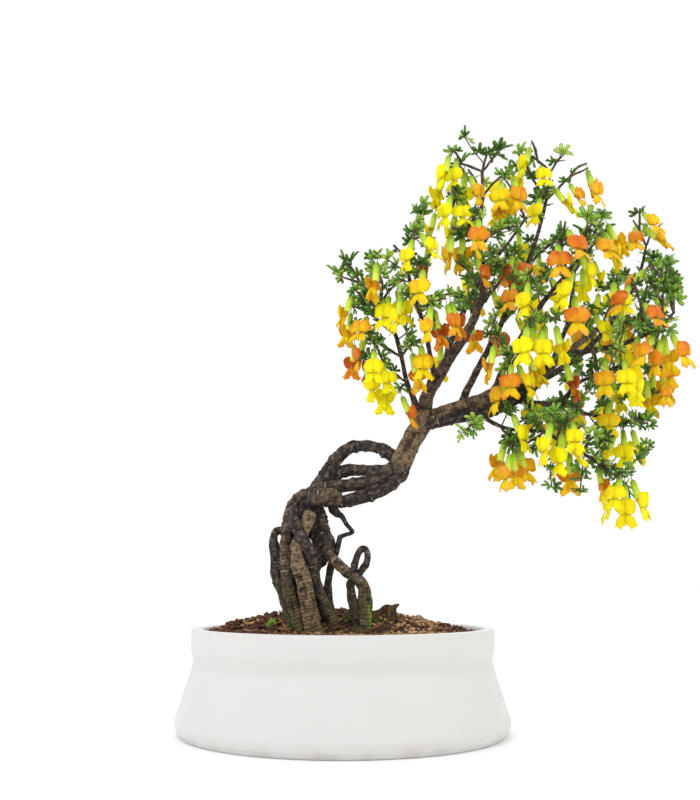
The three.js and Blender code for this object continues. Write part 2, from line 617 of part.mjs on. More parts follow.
// Stalk, calyx and claws are one three-sided tube down to the throat. From there the banner's
// outline stands up in front of the calyx, and the wings' outline spreads downwards. Both are
// blades with a sharp edge, which swell towards the throat.
function flowerSolid(pose) {
  const sections = [
    [0, STALK_ROOT], [STALK_LENGTH, STALK_RADIUS], [CALYX_SHOULDER, CALYX_RADIUS],
    [THROAT, THROAT_RADIUS],
  ];
  const points = sections.flatMap(([down, radius]) => [
    flowerPoint(pose, down, TUBE_FRONT * radius, TUBE_SIDE * radius),
    flowerPoint(pose, down, -radius, 0),
    flowerPoint(pose, down, TUBE_FRONT * radius, -TUBE_SIDE * radius),
  ]);
  const faces = [0, 2, 1];
  for (let i = 0; i < sections.length - 1; i++) {
    for (let k = 0; k < 3; k++) {
      const a = i * 3 + k;
      const b = i * 3 + ((k + 1) % 3);
      faces.push(a, b, b + 3, a, b + 3, a + 3);
    }
  }
  const [right, back, left, underRight, underLeft] = [9, 10, 11, 12, 13];
  const underFront = TUBE_FRONT * THROAT_RADIUS + BANNER_ROOT;
  points.push(
    flowerPoint(pose, THROAT + BANNER_ROOT, underFront, TUBE_SIDE * THROAT_RADIUS),
    flowerPoint(pose, THROAT + BANNER_ROOT, underFront, -TUBE_SIDE * THROAT_RADIUS),
  );
  const banner = mirrored(BANNER).map(([down, front, across]) => flowerPoint(pose, down, front, across));
  const wings = mirrored(WINGS.map(([down, across]) => [down, 0, across]))
    .map(([down, front, across]) => flowerPoint(pose, down, front, across));
  points.push(...banner, ...wings);
  const [banner0, banner1, banner2, banner3, banner4] = [14, 15, 16, 17, 18];
  const [wing0, wing1, wing2, wing3, wing4] = [19, 20, 21, 22, 23];
  faces.push(
    right, banner0, banner1, right, banner1, banner2, left, right, banner2,
    left, banner2, banner3, left, banner3, banner4,
    underRight, banner1, banner0, underRight, banner2, banner1, underRight, underLeft, banner2,
    underLeft, banner3, banner2, underLeft, banner4, banner3,
    right, underRight, banner0, left, banner4, underLeft,
    underRight, wing0, wing1, underRight, wing1, wing2, underRight, wing2, underLeft,
    underLeft, wing2, wing3, underLeft, wing3, wing4,
    back, wing1, wing0, back, wing2, wing1, back, wing3, wing2, back, wing4, wing3,
    right, back, wing0, back, left, wing4, right, wing0, underRight, left, underLeft, wing4,
  );
  return solidOf(geometryOf(points, faces));
}

// One side's outline, from its outermost point to its middle, and its mirror image after it
function mirrored(outline) {
  const other = outline.slice(0, -1).reverse();
  return [...outline, ...other.map(([down, front, across]) => [down, front, -across])];
}

// Leaves

function leafPose(root, way, seed, attempt) {
  const turn = rad((draw(seed, 4) - 0.5) * 60 + attempt * 37 * (attempt % 2 ? 1 : -1));
  const forward = way.clone().applyAxisAngle(vec([0, 0, 1]), turn);
  forward.add(vec([0, 0, 0.35 + 0.5 * draw(seed, 5)])).normalize();
  const across = vec([0, 0, 1]).cross(forward).normalize();
  across.applyAxisAngle(forward, rad((draw(seed, 6) - 0.5) * 80));
  const up = forward.clone().cross(across);
  const size = 0.85 + 0.25 * draw(seed, 7);
  return { root, forward, across, up, size };
}

function leafPoint(pose, turn, length, side, lift) {
  const angle = rad(turn);
  const forward = length * Math.cos(angle) - side * Math.sin(angle);
  const across = length * Math.sin(angle) + side * Math.cos(angle);
  return pose.root.clone()
    .addScaledVector(pose.forward, (LEAF_STALK + forward) * pose.size)
    .addScaledVector(pose.across, across * pose.size)
    .addScaledVector(pose.up, lift * pose.size);
}

function leafRods(pose) {
  return LEAFLET_TURNS.map((turn) => ({
    from: leafPoint(pose, turn, 3, 0, 0.4),
    to: leafPoint(pose, turn, LEAFLET_LENGTH - 1.5, 0, 1.8),
    radius: 1.8,
  }));
}

function leafSolid(pose) {
  const outline = [
    leafPoint(pose, 125, 0.9, 0, 0), leafPoint(pose, 180, LEAF_STALK, 0, 0),
    leafPoint(pose, -125, 0.9, 0, 0),
  ];
  LEAFLET_TURNS.forEach((turn, i) => {
    const long = LEAFLET_LENGTH * (i % 3 ? 1 : 0.85);
    outline.push(leafPoint(pose, turn, long, -LEAFLET_HALF, 2));
    outline.push(leafPoint(pose, turn, long, LEAFLET_HALF, 2));
    if (i < LEAFLET_TURNS.length - 1) {
      const between = (turn + LEAFLET_TURNS[i + 1]) / 2;
      outline.push(leafPoint(pose, between, 2.2, 0, 0.4));
    }
  });
  return blade(outline, leafPoint(pose, 0, 0, 0, 1.1), leafPoint(pose, 0, 0, 0, -0.8));
}

function spineSolid(root, way) {
  const foot = [root.x, root.y, root.z, SPINE_ROOT];
  const end = root.clone().addScaledVector(way, SPINE_LENGTH);
  return tube([foot, [end.x, end.y, end.z, 0.12]], 3);
}

// Looks for a free pose, turning the piece a little further at each attempt
function settle(makePose, makeRods, owner) {
  for (let attempt = 0; attempt < ATTEMPTS; attempt++) {
    const pose = makePose(attempt);
    const rods = makeRods(pose);
    if (isFree(rods, owner)) {
      fill(rods, owner);
      return pose;
    }
  }
  return null;
}

function outwardOf(points) {
  const way = points[2].clone().sub(points[0]);
  way.z = 0;
  return way.length() > 1 ? way.normalize() : vec([0, -1, 0]);
}

function flowersOf(twigs, owner, seed) {
  const spots = [[0, 0.97], [0, 0.5], [1, 0.97], [2, 0.97], [1, 0.45]]
    .filter(([twig]) => twig < twigs.length);
  return spots.flatMap(([twig, along], i) => {
    const points = twigs[twig];
    const poseAt = (attempt) => {
      const root = twigPoint(points, along - SHIFT * (attempt % 4));
      return flowerPose(root, outwardOf(points), seed * 7 + i, attempt);
    };
    const pose = settle(poseAt, flowerRods, owner);
    return pose ? [flowerSolid(pose)] : [];
  });
}

function leavesOf(twigs, owner, seed) {
  const spots = [[0, 0.98], [0, 0.55], [1, 0.9]].filter(([twig]) => twig < twigs.length);
  const solids = spots.flatMap(([twig, along], i) => {
    const points = twigs[twig];
    const poseAt = (attempt) => {
      const root = twigPoint(points, along - SHIFT * (attempt % 4));
      return leafPose(root, outwardOf(points), seed * 9 + i, attempt);
    };
    const pose = settle(poseAt, leafRods, owner);
    return pose ? [leafSolid(pose)] : [];
  });
  const way = outwardOf(twigs[0]).add(vec([0, 0, 1.2])).normalize();
  solids.push(spineSolid(twigPoint(twigs[0], 0.3), way));
  return solids;
}

// Assembly

const number = (i) => String(i + 1).padStart(2, "0");
const forksOf = ([x, , z]) => (x > FULL_SIDE && z < FULL_TOP ? 2 : 1);
const flowerShoots = FLOWER_SHOOTS.map((row, i) => (
  makeShoot(row, `blooms_${number(i)}`, forksOf(row[2]))
));
const leafShoots = LEAF_SHOOTS.map((row, i) => makeShoot(row, `leaves_${number(i)}`, 1));

const bonsai = new THREE.Group();
bonsai.name = "peashrub_bonsai";
bonsai.add(meshOf("pot", makePot(), COLOURS.pot, 0.6));
bonsai.add(meshOf("soil", makeSoil(chipSolid(PLAY)), COLOURS.soil, 0.95));
bonsai.add(meshOf("bark_chip", chipSolid(0), COLOURS.chip, 0.9));
bonsai.add(meshOf("trunk", makeTrunk(), COLOURS.bark, 0.85));
FLOWER_SHOOTS.forEach((row, i) => {
  const name = `blooms_${number(i)}`;
  const twigs = flowerShoots[i];
  const solid = join([...twigs.map(twigSolid), ...flowersOf(twigs, name, i + 1)]);
  bonsai.add(meshOf(name, mainBody(solid), COLOURS[row[3]], 0.55));
});
LEAF_SHOOTS.forEach((row, i) => {
  const name = `leaves_${number(i)}`;
  const twigs = leafShoots[i];
  const solid = join([...twigs.map(twigSolid), ...leavesOf(twigs, name, i + 101)]);
  bonsai.add(meshOf(name, mainBody(solid), COLOURS.leaves, 0.5));
});

export default bonsai;
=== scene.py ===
# A flowering peashrub trained as a bonsai: braided roots and stems rise out of a low white pot,
# lean to the right and carry a crown of thorny twigs, small leaves and hanging pea flowers.
# Metres, +Z up, the origin at the middle of the pot's flat underside, -Y the front.

import math

import bmesh
import bpy
import numpy as np
from mathutils import Matrix, Vector, noise


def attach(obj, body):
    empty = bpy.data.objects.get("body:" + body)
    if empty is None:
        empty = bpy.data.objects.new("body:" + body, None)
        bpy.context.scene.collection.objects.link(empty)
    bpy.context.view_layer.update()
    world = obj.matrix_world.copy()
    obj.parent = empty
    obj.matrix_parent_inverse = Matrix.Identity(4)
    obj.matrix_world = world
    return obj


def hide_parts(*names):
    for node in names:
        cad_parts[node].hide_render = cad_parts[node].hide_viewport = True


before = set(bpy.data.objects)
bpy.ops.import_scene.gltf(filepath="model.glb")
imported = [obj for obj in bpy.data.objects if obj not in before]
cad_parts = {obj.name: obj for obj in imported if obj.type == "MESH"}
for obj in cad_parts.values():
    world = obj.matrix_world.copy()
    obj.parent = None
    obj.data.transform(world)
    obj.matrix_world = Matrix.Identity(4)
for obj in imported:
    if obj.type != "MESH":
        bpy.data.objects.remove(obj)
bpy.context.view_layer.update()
scene = bpy.context.scene


# Studio. The plant stands on a pale floor in a white room. One broad soft lamp hangs at the
# upper left of the camera and a weaker one at the right. The camera stands in front, a little
# above the rim, and looks slightly up.

CAMERA_PLACE = (0.0051, -0.75, 0.1089)
CAMERA_TILT = math.radians(100.1)
CAMERA_LENS = 45
FILM_HEIGHT = 36
FLOOR_SIZE = 60
ROOM_LIGHT = 1.03
LAMP_TARGET = Vector((0.05, 0, 0.2))


def tint(code):
    """The shader colour of a #rrggbb code"""
    shares = [int(code[i:i + 2], 16) / 255 for i in (1, 3, 5)]
    linear = [s / 12.92 if s <= 0.04045 else ((s + 0.055) / 1.055) ** 2.4 for s in shares]
    return (*linear, 1)


class Wire:
    """An output of a shader node. Sums and products of wires add the Math nodes for them."""

    def __init__(self, tree, socket=None):
        self.tree = tree
        self.socket = socket

    def node(self, kind, settings, inputs, output=0):
        """Adds a node: its settings first, then the values or wires of its sockets."""
        made = self.tree.nodes.new(kind)
        for name, value in settings.items():
            if name == "stops":
                ramp = made.color_ramp.elements
                while len(ramp) < len(value):
                    ramp.new(1)
                for stop, (place, colour) in zip(ramp, value):
                    stop.position = place
                    stop.color = tint(colour)
            else:
                setattr(made, name, value)
        for name, value in inputs.items():
            if isinstance(value, Wire):
                self.tree.links.new(value.socket, made.inputs[name])
            else:
                made.inputs[name].default_value = value
        return Wire(self.tree, made.outputs[output])

    def maths(self, operation, left, right=0):
        return self.node("ShaderNodeMath", {"operation": operation}, {0: left, 1: right})

    def __add__(self, other):
        return self.maths("ADD", self, other)

    def __radd__(self, other):
        return self.maths("ADD", other, self)

    def __sub__(self, other):
        return self.maths("SUBTRACT", self, other)

    def __rsub__(self, other):
        return self.maths("SUBTRACT", other, self)

    def __mul__(self, other):
        return self.maths("MULTIPLY", self, other)

    def __rmul__(self, other):
        return self.maths("MULTIPLY", other, self)

    def between(self, low, high):
        """0 below low, 1 above high, and a soft step between them"""
        settings = {"interpolation_type": "SMOOTHSTEP"}
        return self.node("ShaderNodeMapRange", settings, {0: self, 1: low, 2: high})

    def mix(self, first, second):
        """The first colour where this wire is 0, the second where it is 1"""
        return self.node("ShaderNodeMix", {"data_type": "RGBA"}, {0: self, 6: first, 7: second}, 2)

    def ramp(self, *stops):
        return self.node("ShaderNodeValToRGB", {"stops": stops}, {0: self})

    def speckle(self, size, detail=3, stretch=(1, 1, 1)):
        """Soft noise on these coordinates with spots of about that size"""
        scaled = self.node("ShaderNodeMapping", {}, {0: self, 3: stretch})
        inputs = {"Vector": scaled, "Scale": 0.5 / size, "Detail": detail}
        return self.node("ShaderNodeTexNoise", {}, inputs)

    def cells(self, size):
        """Distance to the middles of grains of about that size"""
        return self.node("ShaderNodeTexVoronoi", {}, {"Vector": self, "Scale": 1 / size})

    def bump(self, height):
        """The surface raised by this wire, as high as height where it is 1"""
        return self.node("ShaderNodeBump", {}, {"Height": self, "Distance": height})

    def axis(self, number):
        """The x, y or z of this place, for 0, 1 or 2"""
        return self.node("ShaderNodeSeparateXYZ", {}, {0: self}, number)

    def mark(self, name):
        """The number that the points of the piece carry under that name"""
        return self.node("ShaderNodeAttribute", {"attribute_name": name}, {}, 2)


def new_finish(name, constants):
    """A material, its surface shader's sockets, and a wire with the place on the piece"""
    material = bpy.data.materials.new(name)
    material.use_nodes = True
    shader = material.node_tree.nodes["Principled BSDF"]
    for socket, value in constants.items():
        shader.inputs[socket].default_value = value
    place = Wire(material.node_tree).node("ShaderNodeTexCoord", {}, {}, "Object")
    return material, shader, place


def plug(shader, socket, wire):
    wire.tree.links.new(wire.socket, shader.inputs[socket])


def new_mesh(name, bm):
    """Ends a bmesh as a mesh of that name"""
    mesh = bpy.data.meshes.new(name)
    bm.to_mesh(mesh)
    bm.free()
    return mesh


def new_object(name, bm, materials):
    """Ends a bmesh as an object of that name in the scene"""
    mesh = new_mesh(name, bm)
    for material in materials:
        mesh.materials.append(material)
    made = bpy.data.objects.new(name, mesh)
    scene.collection.objects.link(made)
    return made


def aim(holder, place, target):
    holder.location = place
    holder.rotation_euler = (target - Vector(place)).to_track_quat("-Z", "Y").to_euler()
    scene.collection.objects.link(holder)


def softbox(name, place, size, power):
    lamp = bpy.data.lights.new(name, "AREA")
    lamp.size = size
    lamp.energy = power
    aim(bpy.data.objects.new(name, lamp), place, LAMP_TARGET)


camera = bpy.data.objects.new("camera", bpy.data.cameras.new("camera"))
camera.data.sensor_fit = "VERTICAL"
camera.data.sensor_height = FILM_HEIGHT
camera.data.lens = CAMERA_LENS
camera.location = CAMERA_PLACE
camera.rotation_euler = (CAMERA_TILT, 0, 0)
scene.collection.objects.link(camera)
scene.camera = camera
scene.view_settings.view_transform = "Standard"

softbox("key_lamp", (-0.9, -1.1, 1.3), 1.0, 7)
softbox("side_lamp", (1.3, -0.5, 0.7), 0.8, 2)
softbox("back_lamp", (0.3, 1.4, 1.2), 1.2, 6)

room_light = bpy.data.worlds.new("white_room")
room_light.use_nodes = True
room_light.node_tree.nodes["Background"].inputs[0].default_value = (1, 1, 1, 1)
room_light.node_tree.nodes["Background"].inputs[1].default_value = ROOM_LIGHT
scene.world = room_light

floor_finish, floor_shader, floor_place = new_finish("pale_floor", {"Roughness": 0.8})
plug(floor_shader, "Base Color", floor_place.speckle(0.3).mix(tint("#fdfdfd"), tint("#fbfbfb")))
floor_bm = bmesh.new()
bmesh.ops.create_grid(floor_bm, x_segments=1, y_segments=1, size=FLOOR_SIZE / 2)
floor = new_object("studio_floor", floor_bm, [floor_finish])


# Pot. One thrown body of white stoneware: a straight collar, a waist, and a skirt that swells
# to a flat foot with three drain holes. The glaze is matt, with faint rings from throwing and
# a little grime at the foot, and a soft band of painted shade at the waist.

RIM_RADIUS = 0.11
RIM_HEIGHT = 0.0735
COLLAR_HEIGHT = 0.059
WAIST_RADIUS = 0.1075
WAIST_HEIGHT = 0.051
BELLY_RADIUS = 0.121
BELLY_HEIGHT = 0.007
FOOT_RADIUS = 0.116
WALL = 0.008
FLOOR = 0.008
INNER_BELLY_RADIUS = BELLY_RADIUS - WALL - 0.002
INNER_BELLY_HEIGHT = 2 * BELLY_HEIGHT
POT_STEPS = 144
DRAIN_RADIUS = 0.006
DRAIN_PLACE = 0.06
DRAINS = 3
DRAIN_SIDES = 24
RING_PITCH = 0.0045
FOOT_GRIME_HEIGHT = 0.012
# How far up and down the painted shade at the waist reaches
WAIST_SHADE_REACH = 0.006

# Where the pot's edges are rounded: radius, height, width of the rounding, steps in it
ROUNDINGS = [(FOOT_RADIUS, 0, 0.0012, 3), (BELLY_RADIUS, BELLY_HEIGHT, 0.005, 8),
             (WAIST_RADIUS, WAIST_HEIGHT, 0.004, 6), (RIM_RADIUS, COLLAR_HEIGHT, 0.0035, 6),
             (RIM_RADIUS, RIM_HEIGHT, 0.0018, 5), (RIM_RADIUS - WALL, RIM_HEIGHT, 0.0018, 5)]


def spin_profile(profile, steps):
    """A closed body turned from (radius, height) points that start and end on the axis"""
    bm = bmesh.new()
    points = [bm.verts.new((radius, 0, height)) for radius, height in profile]
    edges = [bm.edges.new(pair) for pair in zip(points, points[1:])]
    bmesh.ops.spin(bm, geom=points + edges, cent=(0, 0, 0), axis=(0, 0, 1), steps=steps,
                   angle=2 * math.pi, use_merge=True)
    bmesh.ops.remove_doubles(bm, verts=bm.verts, dist=1e-6)
    bmesh.ops.recalc_face_normals(bm, faces=bm.faces)
    return bm


def round_ring(bm, radius, height, width, segments):
    """Rounds the ring of edges at that radius and height"""
    ring = [edge for edge in bm.edges if all(
        abs(v.co.z - height) < 1e-5 and abs(v.co.xy.length - radius) < 1e-5 for v in edge.verts)]
    bmesh.ops.bevel(bm, geom=ring, offset=width, segments=segments, affect="EDGES",
                    profile=0.5, material=-1)


def smooth_faces(bm):
    for face in bm.faces:
        face.smooth = True


def with_modifiers(piece):
    """Puts the result of a piece's modifiers into its mesh"""
    shown = piece.evaluated_get(bpy.context.evaluated_depsgraph_get())
    mesh = bpy.data.meshes.new_from_object(shown)
    piece.modifiers.clear()
    piece.data = mesh


def pot_body():
    bm = spin_profile([
        (0, 0), (FOOT_RADIUS, 0), (BELLY_RADIUS, BELLY_HEIGHT), (WAIST_RADIUS, WAIST_HEIGHT),
        (RIM_RADIUS, COLLAR_HEIGHT), (RIM_RADIUS, RIM_HEIGHT), (RIM_RADIUS - WALL, RIM_HEIGHT),
        (WAIST_RADIUS - WALL, WAIST_HEIGHT), (INNER_BELLY_RADIUS, INNER_BELLY_HEIGHT),
        (FOOT_RADIUS - WALL, FLOOR), (0, FLOOR)], POT_STEPS)
    for rounding in ROUNDINGS:
        round_ring(bm, *rounding)
    smooth_faces(bm)
    return bm


def pot_finish():
    material, shader, place = new_finish("matt_glaze", {"Roughness": 0.5, "Coat Weight": 0.15,
                                                        "Coat Roughness": 0.35})
    height = place.axis(2)
    cloud = place.speckle(0.05, 4)
    glaze = cloud.mix(tint("#cfcdcb"), tint("#d8d6d4"))
    at_foot = 1 - height.between(0, FOOT_GRIME_HEIGHT)
    foot_grime = at_foot * place.speckle(0.01).between(0.4, 0.7) * 0.35
    # Painted shade: a soft darker band round the waist, where the wall turns in between collar and
    # skirt
    off_waist = height.maths("ABSOLUTE", height - WAIST_HEIGHT)
    painted_waist_shade = (1 - off_waist.between(0, WAIST_SHADE_REACH)) * 0.12
    # The glaze with patchy grime at the foot, then with the painted shade at the waist
    grime_and_waist_shade = foot_grime.mix(glaze, tint("#a79f96"))
    grime_and_waist_shade = painted_waist_shade.mix(grime_and_waist_shade, tint("#b4aeaa"))
    specks = place.cells(0.007).between(0.02, 0.05)
    plug(shader, "Base Color", specks.mix(tint("#c9c4bc"), grime_and_waist_shade))
    rings = height.maths("SINE", height * (2 * math.pi / RING_PITCH) + cloud * 4)
    grain = place.speckle(0.0012, 5)
    plug(shader, "Roughness", place.speckle(0.02).between(0.2, 0.8) * 0.15 + 0.42)
    plug(shader, "Normal", (rings * 0.35 + grain).bump(0.00012))
    return material


pot = new_object("glazed_pot", pot_body(), [pot_finish()])
drill_bm = bmesh.new()
for i in range(DRAINS):
    turn = 2 * math.pi * (i + 0.5) / DRAINS
    middle = (DRAIN_PLACE * math.cos(turn), DRAIN_PLACE * math.sin(turn), FLOOR / 2)
    bmesh.ops.create_cone(drill_bm, cap_ends=True, segments=DRAIN_SIDES, radius1=DRAIN_RADIUS,
                          radius2=DRAIN_RADIUS, depth=3 * FLOOR,
                          matrix=Matrix.Translation(middle))
drill = new_object("drain_drill", drill_bm, [])
drains = pot.modifiers.new("drains", "BOOLEAN")
drains.object = drill
drains.solver = "EXACT"
with_modifiers(pot)
bpy.data.objects.remove(drill)
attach(pot, "root")
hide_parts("pot")


# Soil. A dark mix that fills the pot to just under the rim and mounds up behind the stems. It
# is one body; its surface is broken by lumps and crumbs.

SOIL_EDGE_HEIGHT = 0.0685
SOIL_MOUND = 0.015
MOUND_CENTRE = (-0.004, 0.03)
MOUND_SIDE_REACH = 0.096
MOUND_FRONT_REACH = 0.046
MOUND_BACK_REACH = 0.058
SOIL_GAP = 0.00035
SOIL_RADIUS = WAIST_RADIUS - WALL + 0.0015 - SOIL_GAP
SOIL_RINGS = 56
SOIL_STEPS = 168
LUMP_SIZE = 0.013
LUMP_HEIGHT = 0.0024
CRUMB_SIZE = 0.0045
CRUMB_HEIGHT = 0.0012
FLAT_EDGE = 0.006


def soil_height(x, y):
    """Height of the soil's surface: a mound, with lumps and crumbs that fade at the pot's wall"""
    side = (x - MOUND_CENTRE[0]) / MOUND_SIDE_REACH
    reach = MOUND_FRONT_REACH if y < MOUND_CENTRE[1] else MOUND_BACK_REACH
    mound = max(0, 1 - side ** 2 - ((y - MOUND_CENTRE[1]) / reach) ** 2)
    lumps = LUMP_HEIGHT * noise.noise(Vector((x, y, 0.3)) / LUMP_SIZE)
    crumbs = CRUMB_HEIGHT * noise.noise(Vector((x, y, 0.7)) / CRUMB_SIZE)
    edge = min(1, (SOIL_RADIUS - math.hypot(x, y)) / FLAT_EDGE)
    return SOIL_EDGE_HEIGHT + SOIL_MOUND * mound + (lumps + crumbs) * max(0.2, edge)


def soil_body():
    top = [(SOIL_RADIUS * i / SOIL_RINGS, SOIL_EDGE_HEIGHT) for i in range(SOIL_RINGS + 1)]
    sides = [(WAIST_RADIUS - WALL - SOIL_GAP, WAIST_HEIGHT),
             (INNER_BELLY_RADIUS - SOIL_GAP, INNER_BELLY_HEIGHT),
             (FOOT_RADIUS - WALL - SOIL_GAP, FLOOR + SOIL_GAP), (0, FLOOR + SOIL_GAP)]
    bm = spin_profile(top + sides, SOIL_STEPS)
    for vert in bm.verts:
        if vert.co.z > SOIL_EDGE_HEIGHT - 1e-4:
            vert.co.z = soil_height(vert.co.x, vert.co.y)
    smooth_faces(bm)
    return bm


def soil_finish():
    material, shader, place = new_finish("damp_soil", {"Roughness": 0.95})
    lumps = place.speckle(0.006, 6)
    crumb = lumps.ramp((0.3, "#1a100a"), (0.46, "#3d2717"), (0.58, "#6b4e2d"), (0.7, "#96774a"))
    damp = place.speckle(0.03, 2).between(0.45, 0.65) * 0.5
    algae = place.speckle(0.018, 4, (1, 1.3, 1)).between(0.6, 0.7) * 0.7
    plug(shader, "Base Color", algae.mix(damp.mix(crumb, tint("#2b1b12")), tint("#56551f")))
    relief = place.speckle(0.002, 5) + place.cells(0.003) * 0.6
    plug(shader, "Normal", relief.bump(0.0014))
    return material


soil = new_object("soil_mound", soil_body(), [soil_finish()])
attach(soil, "root")
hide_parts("soil")


# Grit and litter. Loose on the soil: lumps of red-brown baked clay at the left and the far
# right, fine grit and scraps of bark and dead leaf round the stems, tan gravel at the right.

STONE_SIDES = 13
STONE_KINDS = 5
GRIT = 3400
LITTER = 400
CLAY_EDGE = -0.05
GRAVEL_EDGE = 0.03
FAR_CLAY_EDGE = 0.076
BAND_BLEND = 0.014
BAND_WAVE = 0.02
DARK_PEBBLES = 0.12
LITTER_SIZE = 0.005
LITTER_MORE = 0.006
STRAY_LITTER = 0.1

# Bands of grit from left to right: their right edge, the least size of a grain and how much
# larger it may be, how strongly small ones prevail, the darkest tone and how much paler it gets
GRIT_BANDS = [
    (CLAY_EDGE, 0.003, 0.0036, 2, 0.04, 0.42),
    (GRAVEL_EDGE, 0.0016, 0.0028, 2, 0.26, 0.5),
    (FAR_CLAY_EDGE, 0.0026, 0.0014, 1, 0.62, 0.38),
    (math.inf, 0.0024, 0.0022, 1, 0.08, 0.25),
]


def draw(n, m):
    """A repeatable draw between 0 and 1 for piece n and trait m"""
    value = math.sin(n * 12.9898 + m * 78.233) * 43758.5453
    return value - math.floor(value)


def stone_mesh(kind):
    """A broken grain: the hull of a few points, about 1 across"""
    bm = bmesh.new()
    for i in range(STONE_SIDES):
        way = Vector([draw(kind * 31 + i, m) - 0.5 for m in (1, 2, 3)]).normalized()
        bm.verts.new(way * (0.42 + 0.12 * draw(kind * 31 + i, 4)))
    bmesh.ops.convex_hull(bm, input=bm.verts)
    loose = [v for v in bm.verts if not v.link_faces]
    bmesh.ops.delete(bm, geom=loose, context="VERTS")
    return new_mesh("grain", bm)


def scrap_mesh(kind):
    """A curled scrap of bark or leaf, about 1 long"""
    bm = bmesh.new()
    bmesh.ops.create_grid(bm, x_segments=3, y_segments=2, size=0.5)
    for i, vert in enumerate(bm.verts):
        torn = 0.16 * (draw(kind * 17 + i, 5) - 0.5)
        vert.co.y *= 0.55 - 0.5 * vert.co.x ** 2 + torn
        vert.co.z = 0.5 * vert.co.x ** 2 - 0.9 * vert.co.y ** 2 + torn / 2
    bmesh.ops.solidify(bm, geom=bm.faces, thickness=0.05)
    bmesh.ops.recalc_face_normals(bm, faces=bm.faces)
    return new_mesh("scrap", bm)


def add_copy(bm, mesh, matrix, marks):
    """Adds a copy of a mesh at a place, and gives its points the values of named marks"""
    floats = bm.verts.layers.float
    layers = {floats.get(name) or floats.new(name): value for name, value in marks.items()}
    before = len(bm.verts)
    bm.from_mesh(mesh)
    bm.verts.ensure_lookup_table()
    new = bm.verts[before:]
    bmesh.ops.transform(bm, matrix=matrix, verts=new)
    for layer, value in layers.items():
        for vert in new:
            vert[layer] = value
    return new


def turned(place, size, seed):
    """A placing turned every way, with its own proportions"""
    turn = Matrix.Rotation(2 * math.pi * draw(seed, 6), 4, "Z")
    tilt = Matrix.Rotation(math.pi * draw(seed, 7), 4, "X")
    scale = Matrix.Diagonal((size, size * (0.7 + 0.3 * draw(seed, 8)), size * 0.8, 1))
    return Matrix.Translation(place) @ turn @ tilt @ scale


def soil_spot(seed, reach):
    """A random place on the soil, within that radius"""
    radius = reach * math.sqrt(draw(seed, 1))
    turn = 2 * math.pi * draw(seed, 2)
    return radius * math.cos(turn), radius * math.sin(turn)


def grain_finish():
    """Each grain's tone goes from baked red clay at 0 to tan gravel at 1"""
    material, shader, place = new_finish("loose_grains", {"Roughness": 0.9})
    tone = place.mark("tone")
    colour = tone.ramp((0, "#33160d"), (0.2, "#642f1b"), (0.4, "#4f3521"), (0.6, "#866438"),
                       (0.8, "#b98f60"), (1, "#dfbb9a"))
    dirt = place.speckle(0.0016, 4).between(0.42, 0.66) * 0.5
    plug(shader, "Base Color", dirt.mix(colour, tint("#33241a")))
    plug(shader, "Normal", place.speckle(0.0007, 4).bump(0.0003))
    return material


grain_look = grain_finish()
stones = [stone_mesh(kind) for kind in range(STONE_KINDS)]
grit_bm = bmesh.new()
for i in range(GRIT):
    x, y = soil_spot(i, SOIL_RADIUS - 0.004)
    wave = noise.noise(Vector((x, y, 0)) / BAND_WAVE)
    blended = x + BAND_BLEND * wave + BAND_BLEND * (draw(i, 21) - 0.5)
    band = next(row for row in GRIT_BANDS if blended < row[0])
    edge, least, larger, power, darkest, paler = band
    size = least + larger * draw(i, 4) ** power
    tone = darkest + paler * draw(i, 5)
    if edge == FAR_CLAY_EDGE and draw(i, 3) > 1 - DARK_PEBBLES:
        tone -= 0.5
    place = Vector((x, y, soil_height(x, y) + 0.25 * size))
    add_copy(grit_bm, stones[i % STONE_KINDS], turned(place, size, i), {"tone": tone})
grit = new_object("clay_lumps_and_gravel", grit_bm, [grain_look])
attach(grit, "root")

scraps = [scrap_mesh(kind) for kind in range(STONE_KINDS)]
litter_bm = bmesh.new()
for i in range(LITTER):
    x, y = soil_spot(i + 5000, SOIL_RADIUS - 0.006)
    if (x > GRAVEL_EDGE or y > MOUND_CENTRE[1]) and draw(i, 10) > STRAY_LITTER:
        continue
    size = LITTER_SIZE + LITTER_MORE * draw(i, 11)
    place = Vector((x, y, soil_height(x, y) + 0.12 * size))
    tilt = Matrix.Rotation(1.5 * (draw(i, 12) - 0.5), 4, "X")
    turn = Matrix.Rotation(2 * math.pi * draw(i, 13), 4, "Z")
    flat = Matrix.Translation(place) @ turn @ tilt @ Matrix.Scale(size, 4)
    add_copy(litter_bm, scraps[i % STONE_KINDS], flat, {"tone": 0.38 + 0.52 * draw(i, 14)})
litter = new_object("bark_litter", litter_bm, [grain_look])
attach(litter, "root")


# Moss. A few small bright cushions on the damp soil and at the feet of the stems, each made
# of fine upright shoots.

MOSS_HEIGHT = 0.002
TALL_MOSS_HEIGHT = 0.0065
MOSS_SHOOTS = 90
MOSS_LENGTH = 0.0022
MOSS_ROOTING = 0.0006
# The x, y and radius of each cushion. The first is the tall bright one at the left.
MOSS_PLACES = [(-0.0525, 0.002, 0.0045), (0.003, 0.004, 0.005), (0.024, 0.002, 0.006),
               (-0.07, 0.03, 0.008), (0.02, 0.06, 0.007), (-0.03, 0.05, 0.009),
               (0.06, 0.045, 0.006), (-0.036, 0.006, 0.005)]

